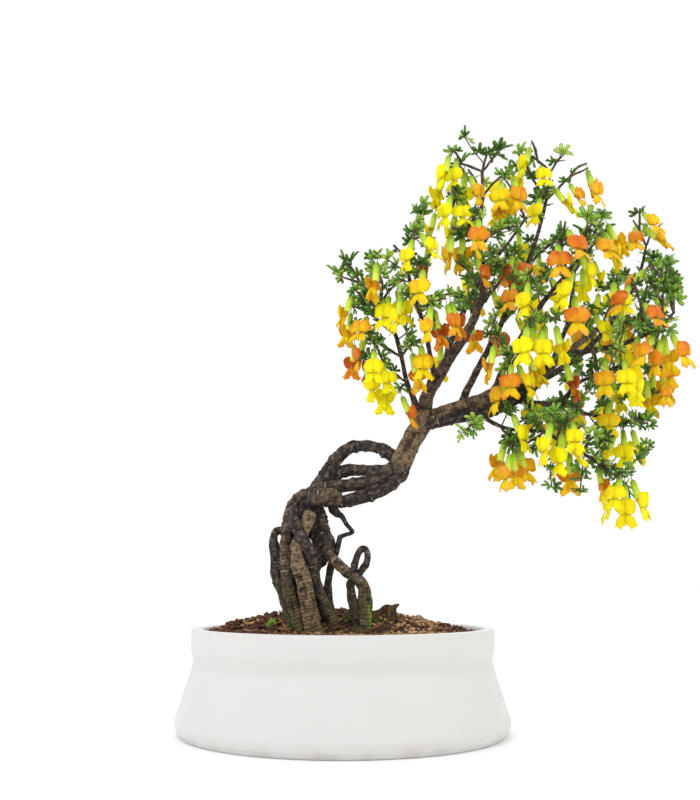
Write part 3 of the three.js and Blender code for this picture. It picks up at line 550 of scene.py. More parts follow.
moss_look, moss_shader, moss_place = new_finish("moss_green", {"Roughness": 0.9})
moss_green = moss_place.mark("tone").ramp((0, "#3c4a1e"), (0.45, "#5f7a2c"), (0.7, "#8bb440"),
                                          (1, "#c0e070"))
plug(moss_shader, "Base Color", moss_green)
moss_bm = bmesh.new()
shoot_bm = bmesh.new()
bmesh.ops.create_cone(shoot_bm, cap_ends=True, segments=4, radius1=0.16, radius2=0.02, depth=1,
                      matrix=Matrix.Translation((0, 0, 0.4)))
moss_shoot = new_mesh("moss_shoot", shoot_bm)
for i, (x, y, spread) in enumerate(MOSS_PLACES):
    height, bright = (MOSS_HEIGHT, 0) if i else (TALL_MOSS_HEIGHT, 0.5)
    for k in range(MOSS_SHOOTS):
        seed = i * MOSS_SHOOTS + k
        reach = spread * math.sqrt(draw(seed, 15))
        turn = 2 * math.pi * draw(seed, 16)
        spot = Vector((x + reach * math.cos(turn), y + reach * math.sin(turn), 0))
        lift = height * (1 - (reach / spread) ** 2)
        spot.z = soil_height(spot.x, spot.y) + lift - MOSS_ROOTING
        lean = Matrix.Rotation(1.1 * (draw(seed, 17) - 0.5), 4, "X")
        around = Matrix.Rotation(6 * draw(seed, 18), 4, "Z")
        size = Matrix.Scale(MOSS_LENGTH * (0.6 + 0.6 * draw(seed, 19)), 4)
        add_copy(moss_bm, moss_shoot, Matrix.Translation(spot) @ around @ lean @ size,
                 {"tone": 0.5 * draw(seed, 20) + bright})
moss = new_object("moss", moss_bm, [moss_look])
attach(moss, "root")


# Bark chip. A jagged splinter of old bark that stands on edge in the soil at the right of the
# stems, furrowed along its grain, with patches of moss.

CHIP_PLACE = (0.031, 0.009, 0.066)
CHIP_THICKNESS = 0.0032
CHIP_TURN = math.radians(14)
CHIP_FURROWS = 0.0004
CHIP_BREAKS = 0.0005
CHIP_OUTLINE = [(-0.011, 0), (0.012, 0), (0.012, 0.011), (0.0095, 0.015), (0.0085, 0.02),
                (0.0115, 0.024), (0.005, 0.0232), (0.0005, 0.0238), (-0.004, 0.0205),
                (-0.011, 0.0185)]


def chip_body():
    bm = bmesh.new()
    corners = [bm.verts.new((x, -CHIP_THICKNESS / 2, z)) for x, z in CHIP_OUTLINE]
    face = bm.faces.new(corners)
    grown = bmesh.ops.extrude_face_region(bm, geom=[face])
    back = [v for v in grown["geom"] if isinstance(v, bmesh.types.BMVert)]
    bmesh.ops.translate(bm, vec=(0, CHIP_THICKNESS, 0), verts=back)
    bmesh.ops.recalc_face_normals(bm, faces=bm.faces)
    bmesh.ops.bevel(bm, geom=bm.edges, offset=0.0004, segments=1, affect="EDGES", profile=0.5,
                    material=-1)
    bmesh.ops.triangulate(bm, faces=bm.faces)
    bmesh.ops.subdivide_edges(bm, edges=bm.edges, cuts=3, use_grid_fill=True)
    for vert in bm.verts:
        grain = noise.noise(Vector((vert.co.x / 0.0012, 0, vert.co.z / 0.012)))
        broken = noise.noise(vert.co / 0.004)
        vert.co += vert.normal * (CHIP_FURROWS * grain + CHIP_BREAKS * broken)
    placing = Matrix.Translation(CHIP_PLACE) @ Matrix.Rotation(CHIP_TURN, 4, "Z")
    bmesh.ops.transform(bm, matrix=placing, verts=bm.verts)
    return bm


def chip_finish():
    material, shader, place = new_finish("old_bark_chip", {"Roughness": 0.9})
    grain = place.speckle(0.003, 5, (4, 4, 0.6))
    wood = grain.ramp((0.3, "#1c120c"), (0.5, "#43301f"), (0.62, "#6b4c2b"), (0.75, "#927046"))
    moss_patch = place.speckle(0.005, 4).between(0.58, 0.68) * 0.5
    plug(shader, "Base Color", moss_patch.mix(wood, tint("#4d5220")))
    plug(shader, "Normal", grain.bump(0.0008))
    return material


chip = new_object("jagged_bark_chip", chip_body(), [chip_finish()])
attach(chip, "root")
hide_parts("bark_chip")


# Trunk. One grown body of old wood: nine roots and stems rise out of the soil, braid into a
# knot and pass through arches into one leaning trunk, which forks into the limbs. Its dark bark
# is ringed across each stem, with pale pores, tan and olive patches and a mossy foot. The tan
# is partly painted light on the stems that face the lamp, and the furrows carry painted shade.

# Each route is a list of (x, y, z, radius)
STEMS = {
    "front_stem": [(-.018, -.013, .062, .0064), (-.022, -.015, .076, .0062),
        (-.025, -.016, .09, .0058), (-.028, -.018, .107, .0055), (-.032, -.018, .119, .0052),
        (-.033, -.016, .129, .0049), (-.031, -.012, .138, .0048), (-.027, -.009, .148, .0048),
        (-.024, -.008, .158, .005)],
    "left_loop": [(-.031, -.003, .062, .005), (-.04, -.002, .087, .0047),
        (-.045, -.001, .1, .0044), (-.049, 0, .111, .0043), (-.05, .001, .123, .0042),
        (-.051, .001, .13, .0039), (-.052, .002, .136, .0031), (-.051, .003, .142, .003),
        (-.046, .003, .144, .0031), (-.041, .002, .137, .0034)],
    "left_stem": [(-.027, -.008, .062, .005), (-.036, -.008, .087, .0046),
        (-.039, -.008, .099, .0044), (-.041, -.007, .111, .0044), (-.042, -.005, .123, .0047),
        (-.0425, -.003, .133, .0044), (-.041, -.002, .144, .0045), (-.04, 0, .155, .0048),
        (-.035, 0, .165, .005), (-.026, .001, .173, .0052)],
    "main_stem": [(-.022, .004, .062, .0082), (-.027, .004, .083, .0076),
        (-.03, .004, .104, .0072), (-.032, .004, .125, .007), (-.032, .003, .144, .007),
        (-.029, .002, .161, .0068), (-.02, .001, .171, .0068), (-.009, .001, .174, .006)],
    "right_stem": [(-.008, .005, .062, .0064), (-.012, .005, .079, .006),
        (-.015, .005, .089, .0058), (-.02, .005, .099, .0056), (-.023, .005, .109, .0056),
        (-.022, .004, .119, .0066), (-.016, .004, .127, .0076), (-.015, .004, .135, .0082),
        (-.018, .005, .144, .0082), (-.019, .005, .153, .0072), (-.021, .003, .163, .0058)],
    "inner_stem": [(-.004, -.006, .062, .0044), (-.007, -.006, .076, .0043),
        (-.014, -.008, .09, .0042), (-.02, -.009, .105, .0042), (-.022, -.012, .116, .0044),
        (-.023, -.017, .125, .0044), (-.027, -.02, .133, .0042), (-.032, -.016, .142, .0042),
        (-.037, -.009, .152, .0044), (-.038, -.005, .161, .0044)],
    "side_root": [(-.014, 0, .131, .004), (-.01, -.006, .126, .0039), (-.004, -.011, .119, .0038),
        (.003, -.012, .113, .0038), (.011, -.011, .108, .004), (.015, -.009, .102, .0046),
        (.016, -.008, .094, .005), (.016, -.007, .086, .0052), (.014, -.006, .073, .0058),
        (.013, -.006, .062, .0062)],
    "small_loop": [(.004, -.012, .111, .0028), (.008, -.013, .115, .0026),
        (.009, -.013, .12, .0024), (.012, -.012, .128, .0024), (.016, -.011, .13, .0024),
        (.018, -.01, .125, .0024), (.016, -.009, .118, .0025), (.011, -.009, .111, .0026),
        (.006, -.01, .106, .0028), (.006, -.009, .097, .0032), (.008, -.008, .087, .0036),
        (.011, -.007, .076, .004), (.012, -.007, .066, .0042)],
    "thin_root": [(-.002, .006, .141, .0017), (-.005, .006, .129, .0022),
        (-.008, .005, .121, .0026), (-.01, .004, .113, .0027), (-.011, .004, .105, .0028),
        (-.011, .004, .095, .0032), (-.008, .004, .078, .0036), (-.007, .004, .066, .0038)],
    "dead_twig": [(-.01, 0, .17, .0036), (-.007, .003, .159, .0034), (-.001, .003, .154, .002),
        (.003, .005, .148, .0015), (.007, .006, .143, .0016), (.002, .006, .141, .0015),
        (-.003, .006, .139, .0018)],
    "upper_arch": [(-.022, .003, .17, .006), (-.019, .003, .175, .006), (-.015, .005, .182, .0058),
        (-.009, .007, .193, .0052), (-.002, .009, .202, .0047), (.008, .01, .208, .0045),
        (.02, .008, .208, .0044), (.03, .004, .205, .0045), (.041, .001, .196, .0048)],
    "second_arch": [(-.016, .005, .176, .005), (-.006, .009, .186, .0046),
        (.003, .011, .19, .0044), (.014, .009, .19, .0043), (.025, .005, .189, .0043),
        (.038, .001, .189, .0046)],
    "main_bend": [(-.028, -.003, .168, .005), (-.018, -.002, .174, .0052),
        (-.007, -.001, .176, .0052), (.004, 0, .1775, .005), (.014, 0, .179, .0052),
        (.024, 0, .182, .0056), (.034, 0, .187, .0066), (.042, 0, .194, .007)],
    "low_bend": [(-.018, -.005, .166, .0046), (-.007, -.005, .165, .0046),
        (.004, -.004, .166, .005), (.014, -.003, .169, .0053), (.024, -.002, .172, .0053),
        (.033, -.001, .177, .0058), (.041, 0, .185, .0066), (.046, 0, .194, .007)],
    "burl": [(-.026, -.007, .168, .0054), (-.018, -.01, .168, .0066), (-.01, -.01, .168, .0064),
        (-.001, -.007, .166, .005)],
    "trunk": [(.034, 0, .185, .0066), (.04, 0, .189, .008), (.045, 0, .197, .008),
        (.049, 0, .206, .0076), (.055, 0, .217, .0078), (.061, 0, .227, .0082),
        (.064, 0, .236, .007)],
    "limb_rib": [(.056, -.002, .221, .0044), (.072, -.005, .225, .0048),
        (.086, -.007, .2285, .0049), (.1, -.009, .231, .0049), (.113, -.011, .234, .0049),
        (.126, -.012, .2395, .0045), (.138, -.012, .246, .0038), (.15, -.011, .257, .003)],
}
LIMBS = {
    "left_branch": [(.058, -.001, .228, .0036), (.053, -.005, .243, .0022),
        (.048, -.008, .255, .0017), (.044, -.011, .274, .0016), (.039, -.014, .291, .0015),
        (.032, -.016, .303, .0013), (.029, -.016, .316, .0011), (.03, -.014, .33, .0009)],
    "leader": [(.062, .001, .231, .0058), (.064, .003, .245, .005), (.071, .005, .258, .0047),
        (.078, .007, .27, .0043), (.087, .009, .284, .0039), (.096, .011, .297, .0035),
        (.104, .013, .313, .0031), (.11, .014, .33, .0027), (.111, .013, .35, .0024),
        (.108, .011, .367, .0021), (.109, .009, .388, .0017), (.111, .007, .409, .0014),
        (.111, .005, .429, .0011), (.115, .004, .444, .0009)],
    "great_limb": [(.06, 0, .227, .0074), (.072, -.002, .229, .0072), (.084, -.004, .233, .0071),
        (.096, -.006, .237, .0068), (.108, -.008, .241, .0064), (.122, -.01, .246, .0058),
        (.137, -.011, .254, .0048), (.152, -.011, .263, .0038), (.167, -.009, .275, .003),
        (.182, -.007, .287, .0024), (.197, -.005, .298, .0018), (.212, -.003, .309, .0013)],
    "crown_limb": [(.088, -.002, .235, .0034), (.094, .004, .249, .0028), (.103, .01, .266, .0026),
        (.113, .018, .285, .0024), (.125, .026, .308, .0022), (.138, .032, .333, .002),
        (.15, .035, .362, .0018), (.16, .035, .389, .0015), (.167, .033, .416, .0012),
        (.171, .031, .44, .001)],
    "front_limb": [(.11, -.008, .24, .0032), (.119, -.018, .261, .0024),
        (.126, -.028, .274, .0022), (.137, -.038, .294, .002), (.149, -.046, .311, .0017),
        (.163, -.05, .327, .0014), (.177, -.05, .345, .001)],
    "back_limb": [(.138, -.01, .253, .0032), (.157, .01, .262, .0028), (.179, .03, .277, .0024),
        (.203, .046, .297, .0022), (.223, .057, .319, .0019), (.239, .062, .341, .0016),
        (.25, .062, .363, .0013), (.255, .058, .385, .001)],
    "right_limb": [(.167, -.009, .275, .0026), (.184, -.022, .276, .0021),
        (.203, -.031, .278, .0018), (.22, -.036, .284, .0015), (.234, -.038, .292, .0012),
        (.243, -.038, .301, .0009)],
    "low_limb": [(.122, -.009, .244, .0032), (.137, -.002, .241, .0024), (.155, .005, .24, .0021),
        (.169, .01, .241, .0019), (.185, .014, .235, .0016), (.202, .017, .232, .0013),
        (.216, .019, .229, .0009)],
    "rising_limb": [(.168, .01, .24, .0018), (.181, .018, .257, .0016), (.196, .025, .265, .0014),
        (.213, .029, .265, .0012), (.227, .031, .261, .0009)],
    "cascade": [(.095, -.007, .234, .0024), (.105, -.016, .226, .0017), (.116, -.022, .219, .0014),
        (.129, -.027, .215, .0014), (.145, -.031, .214, .0014), (.155, -.033, .208, .0014),
        (.165, -.033, .202, .0013), (.176, -.032, .196, .0012), (.186, -.03, .19, .0011),
        (.196, -.027, .183, .001), (.206, -.024, .176, .0008)],
    "back_leader": [(.079, .008, .271, .003), (.085, .028, .293, .0024), (.095, .046, .317, .0022),
        (.108, .058, .345, .0019), (.125, .065, .371, .0016), (.142, .066, .393, .0012),
        (.155, .064, .411, .0009)],
    "left_leader": [(.071, .005, .258, .0026), (.066, -.012, .273, .0018),
        (.062, -.026, .287, .0015), (.056, -.037, .302, .0014), (.05, -.043, .32, .0012),
        (.047, -.044, .338, .001), (.05, -.042, .355, .0008)],
    "far_back": [(.099, .012, .303, .0026), (.109, .036, .323, .0021), (.124, .058, .346, .0018),
        (.143, .078, .366, .0015), (.163, .092, .38, .0011)],
    "back_right": [(.157, .01, .262, .0026), (.171, .036, .288, .002), (.185, .058, .315, .0017),
        (.194, .074, .344, .0014), (.2, .082, .371, .001)],
}

STEM_STEP = 0.0012
STEM_SIDES = 22
LIMB_STEP = 0.0022
LIMB_SIDES = 14
RING_GAP = 0.0026
RING_HEIGHT = 0.0004
FURROW_DEPTH = 0.0016
FURROW_WIDTH = 0.12
GRAIN_HEIGHT = 0.0006
BURR_SIZE = 0.008
BURR_HEIGHT = 0.001
KNOB_SIZE = 0.0042
KNOB_HEIGHT = 0.0026
COARSE_BARK_RADIUS = 0.005
PORE_GAP = 0.0075
DOME_START = 0.0003
ALGAE_HEIGHT = 0.125
MOSSY_HEIGHT = 0.1

# Stems with a tan, partly real tan bark and partly painted light where the stems face the
# lamp: how strong it is at their start, and how strong from the end of the run below onwards
TAN_AND_LIGHT = {"front_stem": (0.95, 0.95), "burl": (0.1, 0.45), "trunk": (0.15, 0.75),
          "great_limb": (0.6, 0.55), "leader": (0.6, 0.4), "left_stem": (0.35, 0.35),
          "side_root": (0.35, 0.35), "main_bend": (0.2, 0.2)}
TAN_AND_LIGHT_RUN = 0.018


def smooth_route(route, step):
    """The route's points with a soft curve through them, about a step apart"""
    points = [Vector(point) for point in route]
    ends = [2 * points[0] - points[1], *points, 2 * points[-1] - points[-2]]
    curve = []
    for before, here, there, after in zip(ends, ends[1:], ends[2:], ends[3:]):
        count = max(2, round((there - here).length / step))
        for k in range(count):
            t = k / count
            curve.append(here + 0.5 * (
                t * (there - before) + t ** 2 * (2 * before - 5 * here + 4 * there - after)
                + t ** 3 * (3 * here - before - 3 * there + after)))
    return curve + [points[-1]]


def first_ring(bm, sides, radius):
    """A closed disc at the origin, as its points and its edges"""
    ring = bmesh.ops.create_circle(bm, cap_ends=True, segments=sides, radius=radius)["verts"]
    return ring, list({edge for vert in ring for edge in vert.link_edges})


def next_ring(bm, edges):
    """Grows a ring of edges by one more ring, and gives its points and edges"""
    grown = bmesh.ops.extrude_edge_only(bm, edges=edges)["geom"]
    return ([part for part in grown if isinstance(part, bmesh.types.BMVert)],
            [part for part in grown if isinstance(part, bmesh.types.BMEdge)])


def sweep(bm, curve, sides, relief=None):
    """Draws a round section along (x, y, z, radius) points. Relief raises each point by where it
    lies along the stem and round it, and the point keeps both and the millimetres raised."""
    along_mark = bm.verts.layers.float.get("along") or bm.verts.layers.float.new("along")
    round_mark = bm.verts.layers.float.get("round") or bm.verts.layers.float.new("round")
    raised_mark = bm.verts.layers.float.get("raised") or bm.verts.layers.float.new("raised")
    ring, edges = first_ring(bm, sides, 1)
    first_cap = ring[0].link_faces[0]
    placing = Matrix.Identity(4)
    facing = Vector((0, 0, 1))
    along = 0
    for i, point in enumerate(curve):
        before = curve[max(i - 1, 0)].xyz
        after = curve[min(i + 1, len(curve) - 1)].xyz
        way = (after - before).normalized()
        turn = facing.rotation_difference(way).to_matrix().to_4x4() @ placing.to_3x3().to_4x4()
        if i > 0:
            ring, edges = next_ring(bm, edges)
            along += (point.xyz - curve[i - 1].xyz).length
        facing = way
        for vert in ring:
            if i == 0:
                vert[round_mark] = math.atan2(vert.co.y, vert.co.x)
            angle = vert[round_mark]
            out = turn.to_3x3().normalized() @ Vector((math.cos(angle), math.sin(angle), 0))
            raised = relief(along, out, point) if relief else 0
            vert.co = point.xyz + out * (point.w + raised)
            vert[along_mark] = along
            vert[raised_mark] = raised * 1000
        placing = turn
    bmesh.ops.contextual_create(bm, geom=edges)
    first_cap.normal_update()
    return along


def bark_relief(along, out, point):
    """Height of the bark: broken rings across the stem, furrows along it, burrs and knobs"""
    share = min(1, point.w / COARSE_BARK_RADIUS)
    wander = noise.noise(point.xyz / 0.02 + out)
    wave = math.cos(2 * math.pi * (along / RING_GAP + 0.9 * wander))
    broken = 0.5 + 0.5 * noise.noise(out * 1.7 + point.xyz / 0.006)
    rings = RING_HEIGHT * max(0, wave) ** 2 * broken
    grain = noise.noise(Vector((2.6 * out.x, 2.6 * out.y, 2.6 * out.z + along / 0.035)))
    grooves = FURROW_DEPTH * max(0, FURROW_WIDTH - abs(grain)) / FURROW_WIDTH
    furrows = GRAIN_HEIGHT * grain - grooves
    burrs = BURR_HEIGHT * noise.noise(point.xyz / BURR_SIZE + 0.9 * out)
    knobs = KNOB_HEIGHT * max(0, noise.noise(point.xyz / KNOB_SIZE + 1.1 * out) - 0.25)
    return share * (rings + furrows + burrs + knobs)


def round_ends(curve):
    """Draws both ends of a stem in to a dome"""
    for points in (curve, curve[::-1]):
        radius = points[0].w
        gone = 0
        for here, there in zip(points, points[1:]):
            share = min(1, (gone + DOME_START) / radius)
            here.w *= math.sqrt(1 - (1 - share) ** 2)
            gone += (there.xyz - here.xyz).length
            if gone > radius:
                break
    return curve


def grown_piece(name, route, step, sides):
    """One stem or limb, with its bark and how much tan and painted light it has at each point"""
    bm = bmesh.new()
    sweep(bm, round_ends(smooth_route(route, step)), sides, bark_relief)
    along_mark = bm.verts.layers.float["along"]
    # The tan is partly real tan bark and partly painted light on the stems that face the lamp
    tan_and_light_mark = bm.verts.layers.float.new("tan")
    low, high = TAN_AND_LIGHT.get(name, (0, 0))
    for vert in bm.verts:
        vert[tan_and_light_mark] = low + (high - low) * min(1, vert[along_mark] / TAN_AND_LIGHT_RUN)
    bmesh.ops.recalc_face_normals(bm, faces=bm.faces)
    return new_object(name, bm, [])


def trunk_body():
    """All stems and limbs joined into one body"""
    stems = [grown_piece(name, route, STEM_STEP, STEM_SIDES) for name, route in STEMS.items()]
    limbs = [grown_piece(name, route, LIMB_STEP, LIMB_SIDES) for name, route in LIMBS.items()]
    first, *others = stems + limbs
    bundle = bpy.data.collections.new("bundle")
    for other in others:
        bundle.objects.link(other)
    union = first.modifiers.new("union", "BOOLEAN")
    union.operation = "UNION"
    union.operand_type = "COLLECTION"
    union.collection = bundle
    union.solver = "MANIFOLD"
    with_modifiers(first)
    for other in others:
        bpy.data.objects.remove(other)
    bpy.data.collections.remove(bundle)
    first.name = "braided_trunk"
    return first


def bark_finish():
    """Dark, cracked bark with paler ring ridges and pores, tan on some stems, partly real bark
    colour and partly painted light where they face the lamp, painted shade in the sunken
    furrows, and green with algae and moss at the foot"""
    material, shader, place = new_finish("ringed_bark", {"Roughness": 0.85})
    across = place.axis(0)
    height = place.axis(2)
    along = place.mark("along")
    # How much tan and painted light the stem carries
    tan_and_light_share = place.mark("tan")
    raised = place.mark("raised")
    coarse = place.speckle(0.009, 4)
    fine = place.speckle(0.0017, 6)
    bark = fine.ramp((0.3, "#120e0c"), (0.44, "#2b2320"), (0.56, "#4b403a"), (0.68, "#73655a"),
                     (0.8, "#998a76"))
    wobble = along + fine * 0.0008 + coarse * 0.003
    ridge = along.maths("SINE", wobble * (2 * math.pi / RING_GAP))
    # Tan patches: partly real tan bark, partly painted light on the stems that face the lamp
    tan = (tan_and_light_share * 0.9 + coarse * 0.9 - 0.45).between(0.05, 0.8) * fine.between(0.25, 0.6)
    bark = (tan * 0.75).mix(bark, tint("#a08260"))
    bark = ((1 - ridge.between(-0.95, -0.5)) * 0.45).mix(bark, tint("#1d1613"))
    # Painted shade: the bark darkens where its relief sinks deeper than about 0.3 mm into the
    # furrows
    bark = ((1 - raised.between(-1.1, -0.3)) * 0.75).mix(bark, tint("#16100e"))
    rust = place.speckle(0.004, 4).between(0.63, 0.73) * 0.45
    bark = rust.mix(bark, tint("#6f3a24"))
    wave = along.maths("SINE", (along + fine * 0.001) * (2 * math.pi / PORE_GAP))
    pores = wave.between(0.93, 0.99) * place.speckle(0.003, 3).between(0.53, 0.62)
    bark = (pores * 0.75).mix(bark, tint("#b3a591"))
    low = 1 - height.between(0.075, ALGAE_HEIGHT)
    algae = low * place.speckle(0.006, 5).between(0.4, 0.6) * 0.7
    bark = algae.mix(bark, tint("#57571f"))
    low_right = across.between(0.0165, 0.0195) * (1 - height.between(0.094, MOSSY_HEIGHT))
    moss = low_right * place.speckle(0.003, 4).between(0.42, 0.52)
    bark = (moss * 0.8).mix(bark, tint("#7f9a30"))
    plug(shader, "Base Color", bark)
    cracks = place.cells(0.0024).between(0.08, 0.5)
    plug(shader, "Normal", (fine * 1.3 + cracks * 0.6 + ridge * 0.2).bump(0.0008))
    return material


trunk = trunk_body()
bark_look = bark_finish()
trunk.data.materials.clear()
trunk.data.materials.append(bark_look)
trunk.data.polygons.foreach_set("use_smooth", [True] * len(trunk.data.polygons))
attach(trunk, "root")
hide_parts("trunk")


# Places of the shoots. Each leaves a limb at a point of its route, ends at a tip and forks once
# or twice. A new piece takes the first free pose, so that nothing grows into another.

# The limb, the point of its route, the tip of the twig and, for flowers, the colour
FLOWER_SHOOTS = [
    ("left_branch", 4, (.004, -.02, .312), "golden"),
    ("left_branch", 3, (.008, -.004, .29), "rust"),
    ("left_branch", 2, (.014, -.024, .27), "yellow"),
    ("left_branch", 3, (.051, -.028, .279), "golden"),
    ("left_branch", 6, (.041, -.028, .326), "yellow"),
    ("left_leader", 6, (.052, -.05, .358), "yellow"),
    ("left_leader", 4, (.059, -.054, .334), "golden"),
    ("left_leader", 3, (.075, -.048, .309), "rust"),
    ("leader", 12, (.076, -.008, .429), "yellow"),
    ("leader", 10, (.071, -.014, .392), "yellow"),
    ("leader", 9, (.082, -.03, .369), "golden"),
    ("leader", 11, (.124, -.014, .417), "golden"),
    ("back_leader", 6, (.143, .076, .441), "yellow"),
    ("rising_limb", 2, (.22, .008, .267), "yellow"),
    ("crown_limb", 9, (.148, .022, .451), "yellow"),
    ("crown_limb", 8, (.201, .026, .441), "golden"),
    ("crown_limb", 7, (.16, .014, .416), "yellow"),
    ("crown_limb", 6, (.125, .014, .358), "rust"),
    ("crown_limb", 4, (.146, .006, .323), "yellow"),
    ("front_limb", 6, (.189, -.058, .363), "golden"),
    ("front_limb", 5, (.153, -.064, .351), "rust"),
    ("front_limb", 3, (.14, -.064, .286), "yellow"),
    ("back_limb", 7, (.242, .048, .404), "golden"),
    ("back_limb", 5, (.208, .04, .343), "yellow"),
    ("back_limb", 4, (.246, .086, .319), "golden"),
    ("right_limb", 5, (.242, -.018, .333), "golden"),
    ("right_limb", 4, (.23, -.05, .283), "golden"),
    ("right_limb", 3, (.216, -.048, .309), "rust"),
    ("rising_limb", 4, (.252, .024, .273), "golden"),
    ("low_limb", 6, (.214, .006, .222), "yellow"),
    ("cascade", 2, (.123, -.034, .203), "golden"),
    ("cascade", 5, (.155, -.052, .215), "yellow"),
    ("cascade", 9, (.201, -.038, .18), "yellow"),
    ("great_limb", 5, (.122, -.042, .267), "golden"),
    ("far_back", 4, (.176, .112, .403), "golden"),
    ("back_right", 4, (.219, .096, .389), "yellow"),
]
LEAF_SHOOTS = [
    ("left_branch", 7, (.025, -.006, .345)),
    ("left_branch", 6, (-.002, -.02, .334)),
    ("left_leader", 6, (.061, -.036, .378)),
    ("leader", 12, (.124, -.004, .441)),
    ("leader", 11, (.094, .018, .431)),
    ("leader", 9, (.119, -.022, .369)),
    ("crown_limb", 9, (.178, .02, .448)),
    ("crown_limb", 8, (.148, .044, .449)),
    ("front_limb", 6, (.174, -.074, .358)),
    ("back_limb", 7, (.262, .06, .397)),
    ("back_limb", 6, (.279, .078, .377)),
    ("back_limb", 3, (.213, .066, .268)),
    ("back_leader", 6, (.166, .054, .424)),
    ("far_back", 4, (.189, .086, .4)),
    ("back_right", 4, (.223, .07, .398)),
    ("right_limb", 4, (.243, -.016, .322)),
    ("cascade", 1, (.088, -.028, .213)),
    ("low_limb", 6, (.239, .026, .228)),
    ("rising_limb", 4, (.247, .042, .252)),
    ("cascade", 4, (.14, -.016, .202)),
]

GAP = 0.00035
PLAY = 0.00045
TWIG_RADIUS = 0.001
TWIG_TIP_RADIUS = 0.0009
TWIG_STEP = 0.003
TWIG_SIDES = 6
TWIG_WANDER = 0.0005
TWIG_LIFT = 0.1
TIP_CLEARANCE = 1.2
FOOT_SKIP = 0.3
FORK_SKIP = 0.2
FORKS_AT = [0.45, 0.75]
FULL_SIDE = 0.115
FULL_TOP = 0.34
FORK_LENGTH = 0.72
FORK_RISE = 0.003
FORK_TURNS = [42, -42, 65, -65, 25, -25, 88, -88]
ATTEMPTS = 24
SHIFT = 0.05
UP = Vector((0, 0, 1))
ROOM_SIZE = 30000
FIRST_LEAF_SHOOT = 101


class Room:
    """What already fills the crown, as rounded rods (start, end, radius, is twig)"""

    def __init__(self):
        self.starts = np.zeros((ROOM_SIZE, 3))
        self.ends = np.zeros((ROOM_SIZE, 3))
        self.radii = np.zeros(ROOM_SIZE)
        self.owners = np.zeros(ROOM_SIZE, int)
        self.count = 0

    def fill(self, rods, owner):
        for start, end, radius, _ in rods:
            self.starts[self.count] = start
            self.ends[self.count] = end
            self.radii[self.count] = radius
            self.owners[self.count] = owner
            self.count += 1

    def gaps(self, start, end):
        """Shortest distances between the rod start-end and each of the rods"""
        u = end - start
        v = self.ends[:self.count] - self.starts[:self.count]
        w = start - self.starts[:self.count]
        uu = u @ u
        vv = (v * v).sum(1)
        uv = v @ u
        uw = w @ u
        vw = (v * w).sum(1)
        denominator = uu * vv - uv * uv
        apart = denominator > 1e-21
        s = np.where(apart, (uv * vw - vv * uw) / np.where(apart, denominator, 1), 0).clip(0, 1)
        t = ((uv * s + vw) / vv).clip(0, 1)
        s = ((uv * t - uw) / uu).clip(0, 1)
        return np.linalg.norm(w + s[:, None] * u - t[:, None] * v, axis=1)

    def is_free(self, rods, owner):
        for start, end, radius, is_twig in rods:
            room = radius + self.radii[:self.count] + GAP
            near = self.gaps(np.array(start), np.array(end)) <= room
            if is_twig:
                near &= self.owners[:self.count] != owner
            if near.any():
                return False
        return True


def twig_rods(points, skip):
    """The rods of a twig, without that share of its start, where it leaves its limb"""
    start = points[0].lerp(points[1], skip)
    return [(start, points[1], TWIG_RADIUS, True), (points[1], points[2], TWIG_RADIUS, True)]


def twig_point(points, along):
    """The point at that share of a twig, which has two straight parts"""
    i = 0 if along * 2 < 1 else 1
    return points[i].lerp(points[i + 1], along * 2 - i)


def twig_points(foot, tip):
    """A twig rises in a slight arch from its foot to its tip"""
    middle = foot.lerp(tip, 0.5)
    middle.z += TWIG_LIFT * (tip - foot).length
    return [foot, middle, tip]


def twig_foot(limb, at, tip):
    """Where a twig starts, just clear of the limb"""
    centre, radius = Vector(limb[at][:3]), limb[at][3]
    way = (tip - centre).normalized()
    if at == len(limb) - 1:
        return centre + way * (PLAY + TIP_CLEARANCE * radius)
    along = (Vector(limb[at + 1][:3]) - Vector(limb[at - 1][:3])).normalized()
    lean = abs(way.dot(along))
    rise = max(0.5, math.sqrt(1 - lean * lean))
    return centre + way * ((radius + PLAY + TWIG_RADIUS * lean) / rise)


def twigs_of(limb, at, tip, owner, forks):
    """The main twig and its side twigs, as three points each"""
    tip = Vector(tip)
    foot = twig_foot(LIMBS[limb], at, tip)
    main = twig_points(foot, tip)
    crown.fill(twig_rods(main, FOOT_SKIP), owner)
    twigs = [main]
    for i, fork_at in enumerate(FORKS_AT[:forks]):
        fork = twig_point(main, fork_at)
        for turn in FORK_TURNS:
            turned_way = Matrix.Rotation(math.radians(-turn if i else turn), 3, "Z")
            way = turned_way @ ((tip - foot) * FORK_LENGTH)
            side = twig_points(fork, fork + way + Vector((0, 0, FORK_RISE)))
            if crown.is_free(twig_rods(side, FORK_SKIP), owner):
                crown.fill(twig_rods(side, FORK_SKIP), owner)
                twigs.append(side)
                break
    return twigs


def outward_of(points):
    """The level way in which a twig runs"""
    way = points[2] - points[0]
    way.z = 0
    return way.normalized() if way.length > 0.001 else Vector((0, -1, 0))


def settle(pose_at, rods_of, owner, attempts=ATTEMPTS):
    """The first pose of a new piece that is free, or None"""
    for attempt in range(attempts):
        pose = pose_at(attempt)
        rods = rods_of(pose)
        if crown.is_free(rods, owner):
            crown.fill(rods, owner)
            return pose
    return None


def settled_poses(twigs, spots, pose_of, rods_of, owner, seed):
    """Free poses for the pieces of a shoot. Each spot is one of its twigs and a share of it."""
    poses = []
    for i, (twig, along) in enumerate(spot for spot in spots if spot[0] < len(twigs)):
        def pose_at(attempt):
            root = twig_point(twigs[twig], along - SHIFT * (attempt % 4))
            return pose_of(root, outward_of(twigs[twig]), seed + i, attempt)
        pose = settle(pose_at, rods_of, owner)
        if pose:
            poses.append(pose)
    return poses


